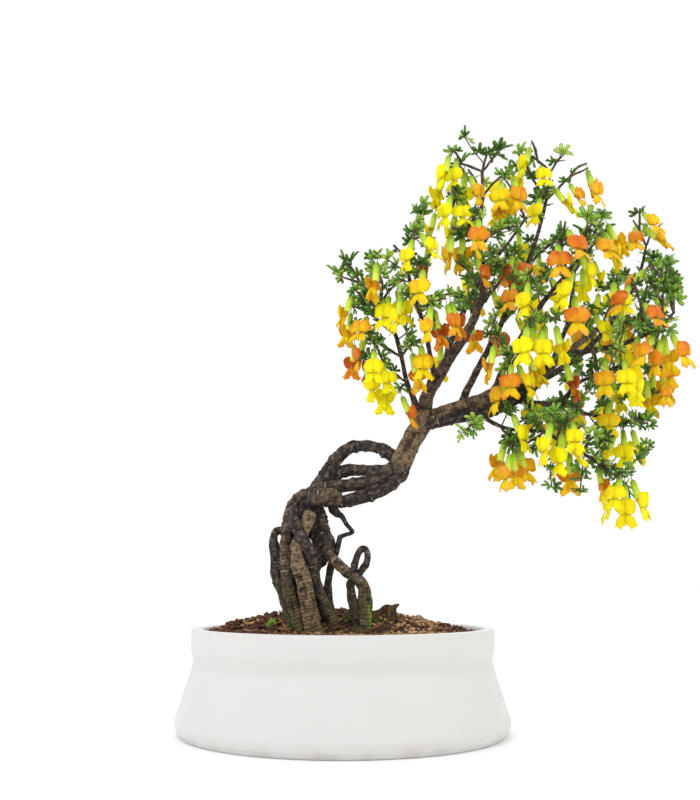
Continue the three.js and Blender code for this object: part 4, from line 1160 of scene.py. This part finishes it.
crown = Room()
for route in LIMBS.values():
    crown.fill([(here[:3], there[:3], here[3], False) for here, there in zip(route, route[1:])], 0)
flower_twigs = []
for i, (limb, at, tip, _) in enumerate(FLOWER_SHOOTS):
    full = tip[0] > FULL_SIDE and tip[2] < FULL_TOP
    flower_twigs.append(twigs_of(limb, at, tip, i + 1, 2 if full else 1))
leaf_twigs = [twigs_of(*row, i + FIRST_LEAF_SHOOT, 1) for i, row in enumerate(LEAF_SHOOTS)]


# Flowers. Each hangs on a thin stalk: a plump green tube of a calyx, pale claws down to the
# throat, a banner that folds up in front of it in two round lobes, two wings that spread below
# and a keel between them. They open bright yellow and age through gold to rust.

STALK_LENGTH = 0.006
CALYX_END = 0.0195
CALYX_RADIUS = 0.0028
THROAT = 0.0258
BANNER_LENGTH = 0.0112
BANNER_SPAN = math.radians(86)
BANNER_BREADTH = 1.12
BANNER_NOTCH = 0.22
BANNER_FRILL = 0.05
BANNER_LEAN = 0.0046
BANNER_BULGE = 0.0014
WING_LENGTH = 0.0112
WING_HALF = 0.0034
WING_ROOT = 0.001
WING_SPREAD = 0.0036
WING_RAGS = 0.0011
KEEL_LENGTH = 0.0075
KEEL_HALF = 0.002
KEEL_DEPTH = 0.0024
CRINKLE_SIZE = 0.0032
CRINKLE_DEPTH = 0.0014
CALYX_TEETH = 0.0012
PETAL_THICKNESS = 0.00025
FLOWER_KINDS = 6
# The ruffles of petals and the bends of twigs would otherwise follow the clock
NOISE_SEED = 1
# Where the flowers of a shoot hang: which of its twigs, and at what share of it
FLOWER_SPOTS = [(0, 0.97), (0, 0.5), (1, 0.97), (2, 0.97), (1, 0.45)]
# The room that a flower takes: its tube, its banner and its wings
FLOWER_RODS = [((0, 0, 0.005), (0, 0, 0.024), 0.0029),
               ((0.0036, -0.0036, 0.0214), (0.0036, 0.0036, 0.0214), 0.0046),
               ((0, -0.0026, 0.031), (0, 0.0026, 0.031), 0.004)]
AGES = {"yellow": 0.08, "golden": 0.42, "rust": 0.72}


def petal(bm, columns, rows, place, parts):
    """A thin petal: place gives the point for its width and length, from -1 to 1 and 0 to 1"""
    made = bmesh.ops.create_grid(bm, x_segments=columns, y_segments=rows, size=1)["verts"]
    edge_mark = bm.verts.layers.float["edge"]
    crease_mark = bm.verts.layers.float["crease"]
    faces = {face for vert in made for face in vert.link_faces}
    for vert in made:
        across, along = vert.co.x, (vert.co.y + 1) / 2
        vert[edge_mark] = parts + 0.9 * along
        vert[crease_mark] = 1 - abs(across)
        vert.co = place(across, along)
    bmesh.ops.recalc_face_normals(bm, faces=list(faces))
    bmesh.ops.solidify(bm, geom=list(faces), thickness=PETAL_THICKNESS)


def flower_mesh(kind):
    """A flower hanging from the origin: x to its front, y across it, z down along it"""
    bm = bmesh.new()
    for mark in ("edge", "crease"):
        bm.verts.layers.float.new(mark)
    edge_mark = bm.verts.layers.float["edge"]
    closed = 0.28 * draw(kind, 31) ** 1.5
    flare = 0.8 + 0.5 * draw(kind, 32)

    def crinkle(point, amount):
        wave = noise.noise_vector(point / CRINKLE_SIZE + Vector((kind, 0, 0)))
        return point + amount * Vector(wave)

    def banner(across, along):
        """A heart that stands up from the throat: two round lobes, creased between them"""
        turn = abs(across) * BANNER_SPAN
        notch = BANNER_NOTCH * math.exp(-(turn / 0.25) ** 2)
        shoulder = 0.5 * (max(0, abs(across) - 0.5) / 0.5) ** 1.6
        frill = BANNER_FRILL * along ** 2 * math.sin(9 * turn + 2 * kind + across)
        reach = BANNER_LENGTH * along * (1 - notch - shoulder + frill)
        side = math.copysign(BANNER_BREADTH * reach * math.sin(turn) * (1 - closed), across)
        up = reach * math.cos(turn)
        lean = BANNER_LEAN * math.sin(1.5 * max(0, up) / BANNER_LENGTH)
        bulge = BANNER_BULGE * math.sin(math.pi * along) * min(1, turn / 0.6)
        fold = (0.0018 + 0.006 * closed) * (side / 0.008) ** 2
        point = Vector((0.002 + lean + bulge - fold, side, THROAT + 0.0006 - up))
        return crinkle(point, CRINKLE_DEPTH * along ** 2)

    def wing(across, along):
        """Narrow at the throat, broad and ragged at its blunt end"""
        side = WING_ROOT + (WING_SPREAD * flare - WING_ROOT) * along ** 1.2
        width = WING_HALF * (0.45 + 0.55 * math.sin(min(1, along / 0.65) * math.pi / 2)) * across
        ragged = WING_RAGS * along ** 4 * math.sin(5.5 * across + 2 * kind)
        reach = WING_LENGTH * along * (1 - 0.16 * across * across * along) + ragged
        front = 0.0006 + 0.0016 * math.sin(along * 2.6) - 0.0013 * across * along
        point = Vector((front, side + width, THROAT - 0.0012 + reach))
        return crinkle(point, CRINKLE_DEPTH * along)

    def other_wing(across, along):
        point = wing(-across, along)
        return Vector((point.x, -point.y, point.z))

    def keel(across, along):
        width = KEEL_HALF * math.sin(math.pi * (0.2 + 0.72 * along))
        front = 0.0006 - KEEL_DEPTH * (1 - abs(across) ** 1.5)
        return Vector((front, width * across, THROAT - 0.001 + KEEL_LENGTH * along))

    petal(bm, 12, 3, banner, 1)
    petal(bm, 4, 4, wing, 3)
    petal(bm, 4, 4, other_wing, 3)
    petal(bm, 2, 3, keel, 5)
    petals = set(bm.faces)

    calyx = [(0, 0.0003), (0.5 * STALK_LENGTH, 0.0003), (STALK_LENGTH - 0.0004, 0.0004),
             (STALK_LENGTH + 0.0001, 0.0013), (STALK_LENGTH + 0.0009, 0.0021),
             (STALK_LENGTH + 0.0028, 0.86 * CALYX_RADIUS),
             (CALYX_END - 0.001, 0.97 * CALYX_RADIUS), (CALYX_END, CALYX_RADIUS)]
    rings = calyx + [(CALYX_END - 0.0006, 0.0022), (THROAT + 0.0008, 0.0015)]
    _, edges = first_ring(bm, 8, calyx[0][1])
    for k, ((height, radius), (_, last)) in enumerate(zip(rings[1:], rings), 1):
        ring, edges = next_ring(bm, edges)
        for vert in ring:
            vert.co = (*(vert.co.xy * (radius / last)), height)
            vert[edge_mark] = height / CALYX_END if k < len(calyx) else 2 + height / THROAT
        if k == len(calyx) - 1:
            for vert in ring[::2]:
                vert.co.z += CALYX_TEETH
    bmesh.ops.contextual_create(bm, geom=edges)
    for face in bm.faces:
        face.smooth = True
        if face not in petals:
            claw = min(vert[edge_mark] for vert in face.verts) > 1.5
            face.material_index = 0 if claw else 1
    bmesh.ops.recalc_face_normals(bm, faces=bm.faces)
    return new_mesh("flower", bm)


def flower_pose(root, outward, seed, attempt):
    """The place of a hanging flower, with x to its front, y across and z down along it"""
    turn = 2 * math.pi * (draw(seed, 1) * 0.2 + attempt * 0.137) * (1 if attempt % 2 else -1)
    side = Matrix.Rotation(turn, 3, "Z") @ outward
    lean = 0.08 + 0.25 * draw(seed, 2) + 0.03 * attempt
    down = (side * lean - UP).normalized()
    front = (side - down * side.dot(down)).normalized()
    across = down.cross(front)
    size = 0.9 + 0.15 * draw(seed, 3)
    turned_axes = Matrix((front, across, down)).transposed().to_4x4()
    return Matrix.Translation(root) @ turned_axes @ Matrix.Scale(size, 4)


def flower_rods(pose):
    return [(pose @ Vector(start), pose @ Vector(end), radius, False)
            for start, end, radius in FLOWER_RODS]


def petal_finish():
    """Age goes from fresh yellow at 0 through gold to rust at 1, and the banner ages first"""
    material, shader, place = new_finish("pea_petals", {
        "Roughness": 0.6, "Specular IOR Level": 0.15, "Subsurface Weight": 0.25,
        "Subsurface Radius": (0.9, 0.6, 0.2), "Subsurface Scale": 0.002})
    age = place.mark("age")
    edge = place.mark("edge")
    part = edge.maths("FLOOR", edge)
    along = edge - part
    on_banner = 1 - part.between(1.5, 2.5)
    patch = place.speckle(0.004, 4)
    older = age + (on_banner - 0.6) * 0.3 * age.between(0.3, 0.7) + (patch - 0.5) * 0.6
    older = older + (along - 0.5) * 0.2
    petals = older.ramp((0, "#fdf20c"), (0.25, "#fbe30d"), (0.45, "#f3bd12"), (0.65, "#e8941a"),
                        (0.85, "#d9681f"), (1, "#b24a1e"))
    crease = place.mark("crease")
    line = crease.between(0.9, 1) * (1 - along.between(0.5, 0.85)) * 0.5
    throat = (1 - along.between(0.03, 0.35)) * 0.5
    throat = throat.maths("MAXIMUM", throat, line) * on_banner
    veins = place.speckle(0.0006, 2, (1, 1, 0.2)).between(0.5, 0.75) * 0.25
    pale = place.speckle(0.0022, 3).between(0.5, 0.68) * age.between(0.25, 0.6)
    pale = pale * along.between(0.3, 1)
    petals = (pale * 0.55).mix(petals, tint("#f3b27c"))
    petals = throat.mix(petals, tint("#a06a14"))
    plug(shader, "Base Color", veins.mix(petals, tint("#e0902a")))
    plug(shader, "Normal", place.speckle(0.0008, 3).bump(0.0002))
    return material


def calyx_finish():
    material, shader, place = new_finish("calyx_green", {
        "Roughness": 0.5, "Specular IOR Level": 0.3, "Subsurface Weight": 0.2,
        "Subsurface Radius": (0.5, 0.9, 0.2), "Subsurface Scale": 0.002})
    along = place.mark("edge")
    green = along.ramp((0, "#74803a"), (0.38, "#8fae27"), (0.6, "#b9d836"), (0.95, "#e2f055"))
    blush = place.speckle(0.003, 3).between(0.52, 0.7) * 0.35
    plug(shader, "Base Color", blush.mix(green, tint("#7c9c24")))
    plug(shader, "Normal", place.speckle(0.0008, 3).bump(0.00015))
    return material


def twig_finish():
    material, shader, place = new_finish("twig_bark", {"Roughness": 0.8})
    fine = place.speckle(0.0012, 4)
    bark = fine.ramp((0.3, "#2c211b"), (0.5, "#4e3f34"), (0.7, "#857260"))
    green = place.speckle(0.01, 3).between(0.5, 0.7) * 0.4
    plug(shader, "Base Color", green.mix(bark, tint("#5a5a2c")))
    plug(shader, "Normal", fine.bump(0.0003))
    return material


def twig_piece(name, limb, at, twigs):
    """The wood of a shoot: its main twig starts inside the limb, and both wander a little"""
    bm = bmesh.new()
    for i, points in enumerate(twigs):
        root = [Vector(LIMBS[limb][at][:3])] if i == 0 else []
        radii = [TWIG_RADIUS] * (len(root) + 2) + [0.8 * TWIG_TIP_RADIUS]
        route = [(*point, radius) for point, radius in zip(root + points, radii)]
        curve = smooth_route(route, TWIG_STEP)
        for point in curve[2:-1]:
            point.xyz += TWIG_WANDER * noise.noise_vector(point.xyz / 0.006)
            point.w *= 1 + 0.5 * max(0, noise.noise(point.xyz / 0.003))
        sweep(bm, curve, TWIG_SIDES)
    bmesh.ops.recalc_face_normals(bm, faces=bm.faces)
    smooth_faces(bm)
    piece = new_object(name, bm, [twig_look])
    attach(piece, "root")
    return piece


noise.seed_set(NOISE_SEED)
twig_look = twig_finish()
petal_look = petal_finish()
calyx_look = calyx_finish()
flower_kinds = [flower_mesh(kind) for kind in range(FLOWER_KINDS)]
for i, (row, twigs) in enumerate(zip(FLOWER_SHOOTS, flower_twigs)):
    node = f"blooms_{i + 1:02}"
    wood = twig_piece(f"flower_twig_{i + 1:02}", row[0], row[1], twigs)
    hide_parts(node)
    flowers_bm = bmesh.new()
    poses = settled_poses(twigs, FLOWER_SPOTS, flower_pose, flower_rods, i + 1, 7 * (i + 1))
    for k, pose in enumerate(poses):
        seed = 10 * i + k
        age = AGES[row[3]] + 0.3 * (draw(seed, 33) - 0.4)
        kind = flower_kinds[int(draw(seed, 34) * FLOWER_KINDS)]
        add_copy(flowers_bm, kind, pose, {"age": min(1, max(0, age))})
    flowers = new_object(f"flowers_{i + 1:02}", flowers_bm, [petal_look, calyx_look])
    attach(flowers, "root")
    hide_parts(node)


# Leaves. Each is a short stalk with four small leaflets, set like fingers, folded along the
# middle and broadest near their tips. Young ones are paler. They grow on forked thin twigs.

LEAFLET_LENGTH = 0.01
LEAFLET_HALF = 0.0021
LEAFLET_TURNS = [-78, -27, 27, 78]
LEAF_STALK = 0.003
LEAF_THICKNESS = 0.0006
LEAF_KINDS = 6
LEAF_SPOTS = [(0, 0.98), (0, 0.55), (1, 0.9)]
LEAFLET_ROOM = 0.0018
LEAF_STALK_RADIUS = 0.0003


def leaflet(bm, turn, kind, i):
    """One leaflet from the stalk's end: a thin shell, narrow at its foot, broad near its tip"""
    long = LEAFLET_LENGTH * (1 if i % 3 else 0.85) * (0.85 + 0.25 * draw(kind * 5 + i, 41))
    cup = 0.2 + 0.55 * draw(kind * 5 + i, 42)
    droop = 0.0012 * draw(kind * 5 + i, 45)
    made = bmesh.ops.create_uvsphere(bm, u_segments=8, v_segments=2, radius=1)["verts"]
    edge_mark = bm.verts.layers.float["edge"]
    for vert in made:
        on_rim = abs(vert.co.z) < 0.5
        along = 0.5 + 0.5 * vert.co.x if on_rim else 0.55
        width = vert.co.y * (0.62 + 0.62 * along) if on_rim else 0
        lift = cup * abs(width) * LEAFLET_HALF + 0.002 * along - droop * along ** 3
        side = 0 if on_rim else math.copysign(LEAF_THICKNESS / 2, vert.co.z)
        vert[edge_mark] = 1 if on_rim else 0
        vert.co = (long * along, width * LEAFLET_HALF, lift + side)
    turning = Matrix.Rotation(math.radians(turn), 4, "Z")
    bmesh.ops.transform(bm, matrix=Matrix.Translation((LEAF_STALK, 0, 0)) @ turning, verts=made)


def leaf_mesh(kind):
    """A leaf from the origin: x along its stalk, y across it and z its upper side"""
    bm = bmesh.new()
    bm.verts.layers.float.new("edge")
    for i, turn in enumerate(LEAFLET_TURNS):
        leaflet(bm, turn + 20 * (draw(kind * 5 + i, 43) - 0.5), kind, i)
    side = Matrix.Translation((LEAF_STALK / 2, 0, 0)) @ Matrix.Rotation(math.pi / 2, 4, "Y")
    bmesh.ops.create_cone(bm, cap_ends=True, segments=3, radius1=LEAF_STALK_RADIUS,
                          radius2=LEAF_STALK_RADIUS, depth=LEAF_STALK * 1.2, matrix=side)
    bmesh.ops.recalc_face_normals(bm, faces=bm.faces)
    smooth_faces(bm)
    return new_mesh("leaf", bm)


def leaf_pose(root, way, seed, attempt):
    """The place of a leaf, with x along its stalk, y across it and z its upper side"""
    turn = math.radians((draw(seed, 4) - 0.5) * 60 + attempt * 37 * (1 if attempt % 2 else -1))
    forward = Matrix.Rotation(turn, 3, "Z") @ way
    forward = (forward + UP * (0.35 + 0.5 * draw(seed, 5))).normalized()
    across = UP.cross(forward).normalized()
    roll = math.radians((draw(seed, 6) - 0.5) * 80)
    across = Matrix.Rotation(roll, 3, forward) @ across
    axes = Matrix((forward, across, forward.cross(across))).transposed().to_4x4()
    return Matrix.Translation(root) @ axes @ Matrix.Scale(0.85 + 0.25 * draw(seed, 7), 4)


def leaf_rods(pose):
    rods = []
    for turn in LEAFLET_TURNS:
        way = Vector((math.cos(math.radians(turn)), math.sin(math.radians(turn)), 0))
        stalk = Vector((LEAF_STALK, 0, 0))
        start = pose @ (stalk + way * 0.003 + UP * 0.0004)
        end = pose @ (stalk + way * (LEAFLET_LENGTH - 0.0015) + UP * 0.0018)
        rods.append((start, end, LEAFLET_ROOM, False))
    return rods


def leaf_finish():
    """Tone goes from old dark leaves at 0 to young pale ones at 1"""
    material, shader, place = new_finish("small_leaves", {
        "Roughness": 0.5, "Specular IOR Level": 0.3, "Subsurface Weight": 0.15,
        "Subsurface Radius": (0.4, 0.9, 0.2), "Subsurface Scale": 0.0015})
    tone = place.mark("tone")
    rib = place.mark("edge")
    green = tone.ramp((0, "#36501c"), (0.3, "#4d7426"), (0.6, "#6f9c35"), (0.85, "#9ac247"),
                      (1, "#c3dc68"))
    patch = place.speckle(0.003, 4).between(0.45, 0.7) * 0.4
    green = patch.mix(green, tint("#6f9a3c"))
    midrib = (1 - rib.between(0, 0.25)) * 0.35
    plug(shader, "Base Color", midrib.mix(green, tint("#93b04c")))
    plug(shader, "Normal", place.speckle(0.0007, 3).bump(0.0002))
    return material


leaf_look = leaf_finish()
leaf_kinds = [leaf_mesh(kind) for kind in range(LEAF_KINDS)]
for i, (row, twigs) in enumerate(zip(LEAF_SHOOTS, leaf_twigs)):
    node = f"leaves_{i + 1:02}"
    wood = twig_piece(f"leaf_twig_{i + 1:02}", row[0], row[1], twigs)
    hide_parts(node)
    leaves_bm = bmesh.new()
    owner = i + FIRST_LEAF_SHOOT
    poses = settled_poses(twigs, LEAF_SPOTS, leaf_pose, leaf_rods, owner, 9 * owner)
    for k, pose in enumerate(poses):
        seed = 10 * i + k + 700
        add_copy(leaves_bm, leaf_kinds[seed % LEAF_KINDS], pose, {"tone": draw(seed, 44)})
    leaves = new_object(f"leaf_fans_{i + 1:02}", leaves_bm, [leaf_look])
    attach(leaves, "root")
    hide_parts(node)


# Single blooms. Between the shoots, flowers of the same kinds hang alone, each at the end of a
# short twig that grows out of a limb.

FIRST_SINGLE_BLOOM = 201
# The limb, the point of its route, the tip of the twig and the colour
SINGLE_BLOOMS = [
    ("leader", 8, (.1, -.008, .359), "rust"),
    ("leader", 8, (.113, -.006, .345), "yellow"),
    ("leader", 7, (.087, -.016, .347), "golden"),
    ("crown_limb", 3, (.119, .002, .311), "rust"),
    ("crown_limb", 5, (.165, .01, .347), "yellow"),
    ("crown_limb", 4, (.133, -.01, .338), "golden"),
    ("front_limb", 4, (.165, -.062, .311), "golden"),
    ("great_limb", 8, (.163, -.027, .272), "rust"),
    ("great_limb", 6, (.137, -.027, .25), "yellow"),
    ("great_limb", 9, (.187, -.026, .309), "yellow"),
    ("great_limb", 10, (.203, -.03, .312), "golden"),
    ("low_limb", 4, (.178, 0, .243), "yellow"),
    ("low_limb", 5, (.203, .006, .245), "golden"),
    ("rising_limb", 4, (.228, .016, .258), "golden"),
    ("rising_limb", 3, (.217, .014, .246), "yellow"),
    ("right_limb", 4, (.232, -.022, .275), "yellow"),
    ("back_limb", 4, (.226, .042, .312), "yellow"),
    ("back_limb", 3, (.198, .03, .318), "golden"),
    ("cascade", 6, (.166, -.02, .205), "golden"),
    ("cascade", 8, (.187, -.016, .196), "golden"),
    ("left_branch", 2, (.042, -.016, .247), "rust"),
    ("leader", 11, (.098, -.008, .425), "golden"),
    ("leader", 9, (.088, -.012, .381), "golden"),
    ("left_leader", 6, (.067, -.02, .363), "rust"),
    ("leader", 8, (.127, -.015, .342), "rust"),
    ("right_limb", 5, (.251, -.02, .337), "golden"),
]

wood_bm = bmesh.new()
flowers_bm = bmesh.new()
single_twigs = []
for i, (limb, at, tip, colour) in enumerate(SINGLE_BLOOMS):
    owner = FIRST_SINGLE_BLOOM + i
    points = twigs_of(limb, at, tip, owner, 0)[0]
    root = Vector(LIMBS[limb][at][:3])
    route = [(*root, TWIG_RADIUS), *((*point, TWIG_TIP_RADIUS) for point in points)]
    sweep(wood_bm, smooth_route(route, TWIG_STEP), TWIG_SIDES)
    single_twigs.append((limb, points))
    age = AGES[colour] + 0.3 * (draw(owner, 33) - 0.3)
    for pose in settled_poses([points], FLOWER_SPOTS[:1], flower_pose, flower_rods, owner, owner):
        add_copy(flowers_bm, flower_kinds[i % FLOWER_KINDS], pose, {"age": age})
bmesh.ops.recalc_face_normals(wood_bm, faces=wood_bm.faces)
single_wood = new_object("single_bloom_twigs", wood_bm, [twig_look])
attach(single_wood, "root")
single_blooms = new_object("single_blooms", flowers_bm, [petal_look, calyx_look])
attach(single_blooms, "root")


# Side twigs with their blooms and leaves. The outer limbs are thick with short thorny twigs,
# many with a flower at the tip. Leaves stand in tufts along them, along the shoots and on the
# thin ends of the limbs, each tuft with a spine.

# The share of each limb that is bare at its foot
LIMB_BARE = {"great_limb": 0.42, "leader": 0.28, "crown_limb": 0.15, "front_limb": 0.1}
OTHER_BARE = 0.2
CROWN_EDGE = 0.335
CROWN_TOP = 0.39
TOP_SHARE = 0.4
SIDE_TWIG_SPACING = 0.0072
SIDE_TWIG_LENGTH = 0.022
SIDE_TWIG_RADIUS = 0.00055
SIDE_TWIG_SIDES = 5
SIDE_TWIG_STEP = 0.005
SIDE_TWIG_LIFT = 0.0012
SIDE_TWIG_SEEDS = 1000
SIDE_BLOOM_SEEDS = 300
SIDE_BLOOM_TRIES = 10
GOLDEN_TURN = math.radians(137.5)
TUFT_SPACING = 0.0078
TUFT_LEAVES = 2
TUFT_REACH = 0.0125
TUFT_ROOM = 0.0007
SIDE_BLOOM_FLOOR = 0.225
SIDE_BLOOM_SHARE = 0.75
SIDE_BLOOM_AGES = [0.05, 0.05, 0.08, 0.1, 0.12, 0.4, 0.6]
SPINE_LENGTH = 0.006
SPINE_RADIUS = 0.0003
SPINE_TIP_RADIUS = 0.00008


def square_to(way, turn):
    """A direction square to a way, turned round it"""
    side = way.cross(UP if abs(way.z) < 0.9 else Vector((1, 0, 0))).normalized()
    return Matrix.Rotation(turn, 3, way) @ side


def stations(points, spacing, bare=0.0):
    """Places at that spacing along a line of points, with the way it runs there"""
    total = sum((there - here).length for here, there in zip(points, points[1:]))
    gone = 0
    due = bare * total + spacing / 2
    for here, there in zip(points, points[1:]):
        long = (there - here).length
        while due < gone + long:
            yield here.lerp(there, (due - gone) / long), (there - here).normalized()
            due += spacing
        gone += long


def side_twigs_of(name, seed):
    """Free places for short twigs along a limb: where each leaves it, and its three points"""
    curve = smooth_route(LIMBS[name], 0.002)
    bare = LIMB_BARE.get(name, OTHER_BARE)
    twigs = []
    for root, way in stations([point.xyz for point in curve], SIDE_TWIG_SPACING, bare):
        seed += 1
        radius = min(curve, key=lambda point: (point.xyz - root).length).w
        for attempt in range(8):
            out = square_to(way, GOLDEN_TURN * seed + 0.8 * attempt)
            out = (out + 0.45 * way + 0.35 * UP).normalized()
            long = SIDE_TWIG_LENGTH * (0.55 + 1.0 * draw(seed, 51)) * (1 - 0.06 * attempt)
            foot = root + out * (radius + SIDE_TWIG_LIFT)
            tip = foot + out * long
            middle = foot.lerp(tip, 0.5) + 0.12 * long * square_to(out, 2.4 * seed)
            rods = [(foot, middle, SIDE_TWIG_RADIUS, True), (middle, tip, SIDE_TWIG_RADIUS, True)]
            in_crown = tip.x < CROWN_EDGE * (tip.y - CAMERA_PLACE[1])
            if in_crown and crown.is_free(rods, seed):
                crown.fill(rods, seed)
                twigs.append((root, [foot, middle, tip]))
                break
    return twigs


def tuft_poses(root, way, seed):
    """Free places for the leaves of one tuft"""
    poses = []
    for i in range(TUFT_LEAVES):
        piece_seed = seed * 5 + i
        for attempt in range(3):
            turn = GOLDEN_TURN * piece_seed + 2.1 * attempt
            out = square_to(way, turn) + way * (0.2 + 0.7 * draw(piece_seed, 52)) + UP * 0.25
            forward = out.normalized()
            across = square_to(forward, 6.3 * draw(piece_seed, 56))
            axes = Matrix((forward, across, forward.cross(across))).transposed().to_4x4()
            size = 0.55 + 0.32 * draw(piece_seed, 53)
            start = root + forward * LEAF_STALK
            rods = [(start, root + forward * TUFT_REACH * size, TUFT_ROOM, False)]
            if crown.is_free(rods, seed):
                crown.fill(rods, seed)
                poses.append(Matrix.Translation(root) @ axes @ Matrix.Scale(size, 4))
                break
    return poses


def spine(bm, root, way, seed):
    """A thin thorn that stands out from a twig"""
    out = (square_to(way, GOLDEN_TURN * seed + 2) + 0.4 * way).normalized()
    long = SPINE_LENGTH * (0.7 + 0.6 * draw(seed, 54))
    facing = out.to_track_quat("Z", "Y").to_matrix().to_4x4()
    bmesh.ops.create_cone(bm, cap_ends=True, segments=3, radius1=SPINE_RADIUS,
                          radius2=SPINE_TIP_RADIUS, depth=long,
                          matrix=Matrix.Translation(root + out * long / 2) @ facing)


side_twigs = {}
for i, name in enumerate(LIMBS):
    side_twigs[name] = side_twigs_of(name, SIDE_TWIG_SEEDS * (i + 1))
flowers_bm = bmesh.new()
for i, name in enumerate(LIMBS):
    for k, (_, points) in enumerate(side_twigs[name]):
        owner = SIDE_BLOOM_SEEDS * (i + 1) + k
        if points[2].z < SIDE_BLOOM_FLOOR or draw(owner, 59) > SIDE_BLOOM_SHARE:
            continue

        def pose_at(attempt):
            root = twig_point(points, 0.97 - 0.12 * (attempt % 4))
            return flower_pose(root, outward_of(points), owner, attempt)
        pose = settle(pose_at, flower_rods, owner, SIDE_BLOOM_TRIES)
        if pose:
            age = SIDE_BLOOM_AGES[int(draw(owner, 57) * len(SIDE_BLOOM_AGES))]
            kind = flower_kinds[int(draw(owner, 34) * FLOWER_KINDS)]
            add_copy(flowers_bm, kind, pose, {"age": age + 0.15 * draw(owner, 58)})
side_blooms = new_object("side_blooms", flowers_bm, [petal_look, calyx_look])
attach(side_blooms, "root")

shoot_twigs = {name: [] for name in LIMBS}
for row, twigs in [*zip(FLOWER_SHOOTS, flower_twigs), *zip(LEAF_SHOOTS, leaf_twigs)]:
    shoot_twigs[row[0]] += twigs
for limb, points in single_twigs:
    shoot_twigs[limb].append(points)
for i, name in enumerate(LIMBS):
    wood_bm = bmesh.new()
    tufts_bm = bmesh.new()
    seed = SIDE_TWIG_SEEDS * (i + 1)
    carriers = [*shoot_twigs[name]]
    for root, points in side_twigs[name]:
        route = [(*point, SIDE_TWIG_RADIUS) for point in [root, *points]]
        sweep(wood_bm, smooth_route(route, SIDE_TWIG_STEP), SIDE_TWIG_SIDES)
        carriers.append(points)
    carriers.append([Vector(point[:3]) for point in LIMBS[name]][len(LIMBS[name]) * 3 // 5:])
    for points in carriers:
        for root, way in stations(points, TUFT_SPACING, 0.12):
            seed += 1
            if root.z > CROWN_TOP and draw(seed, 60) > TOP_SHARE:
                continue
            spine(wood_bm, root, way, seed)
            for k, pose in enumerate(tuft_poses(root, way, seed)):
                kind = leaf_kinds[(seed + k) % LEAF_KINDS]
                add_copy(tufts_bm, kind, pose, {"tone": draw(seed * 3 + k, 55)})
    bmesh.ops.recalc_face_normals(wood_bm, faces=wood_bm.faces)
    wood = new_object(f"side_twigs_{name}", wood_bm, [twig_look])
    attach(wood, "root")
    tufts = new_object(f"leaf_tufts_{name}", tufts_bm, [leaf_look])
    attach(tufts, "root")
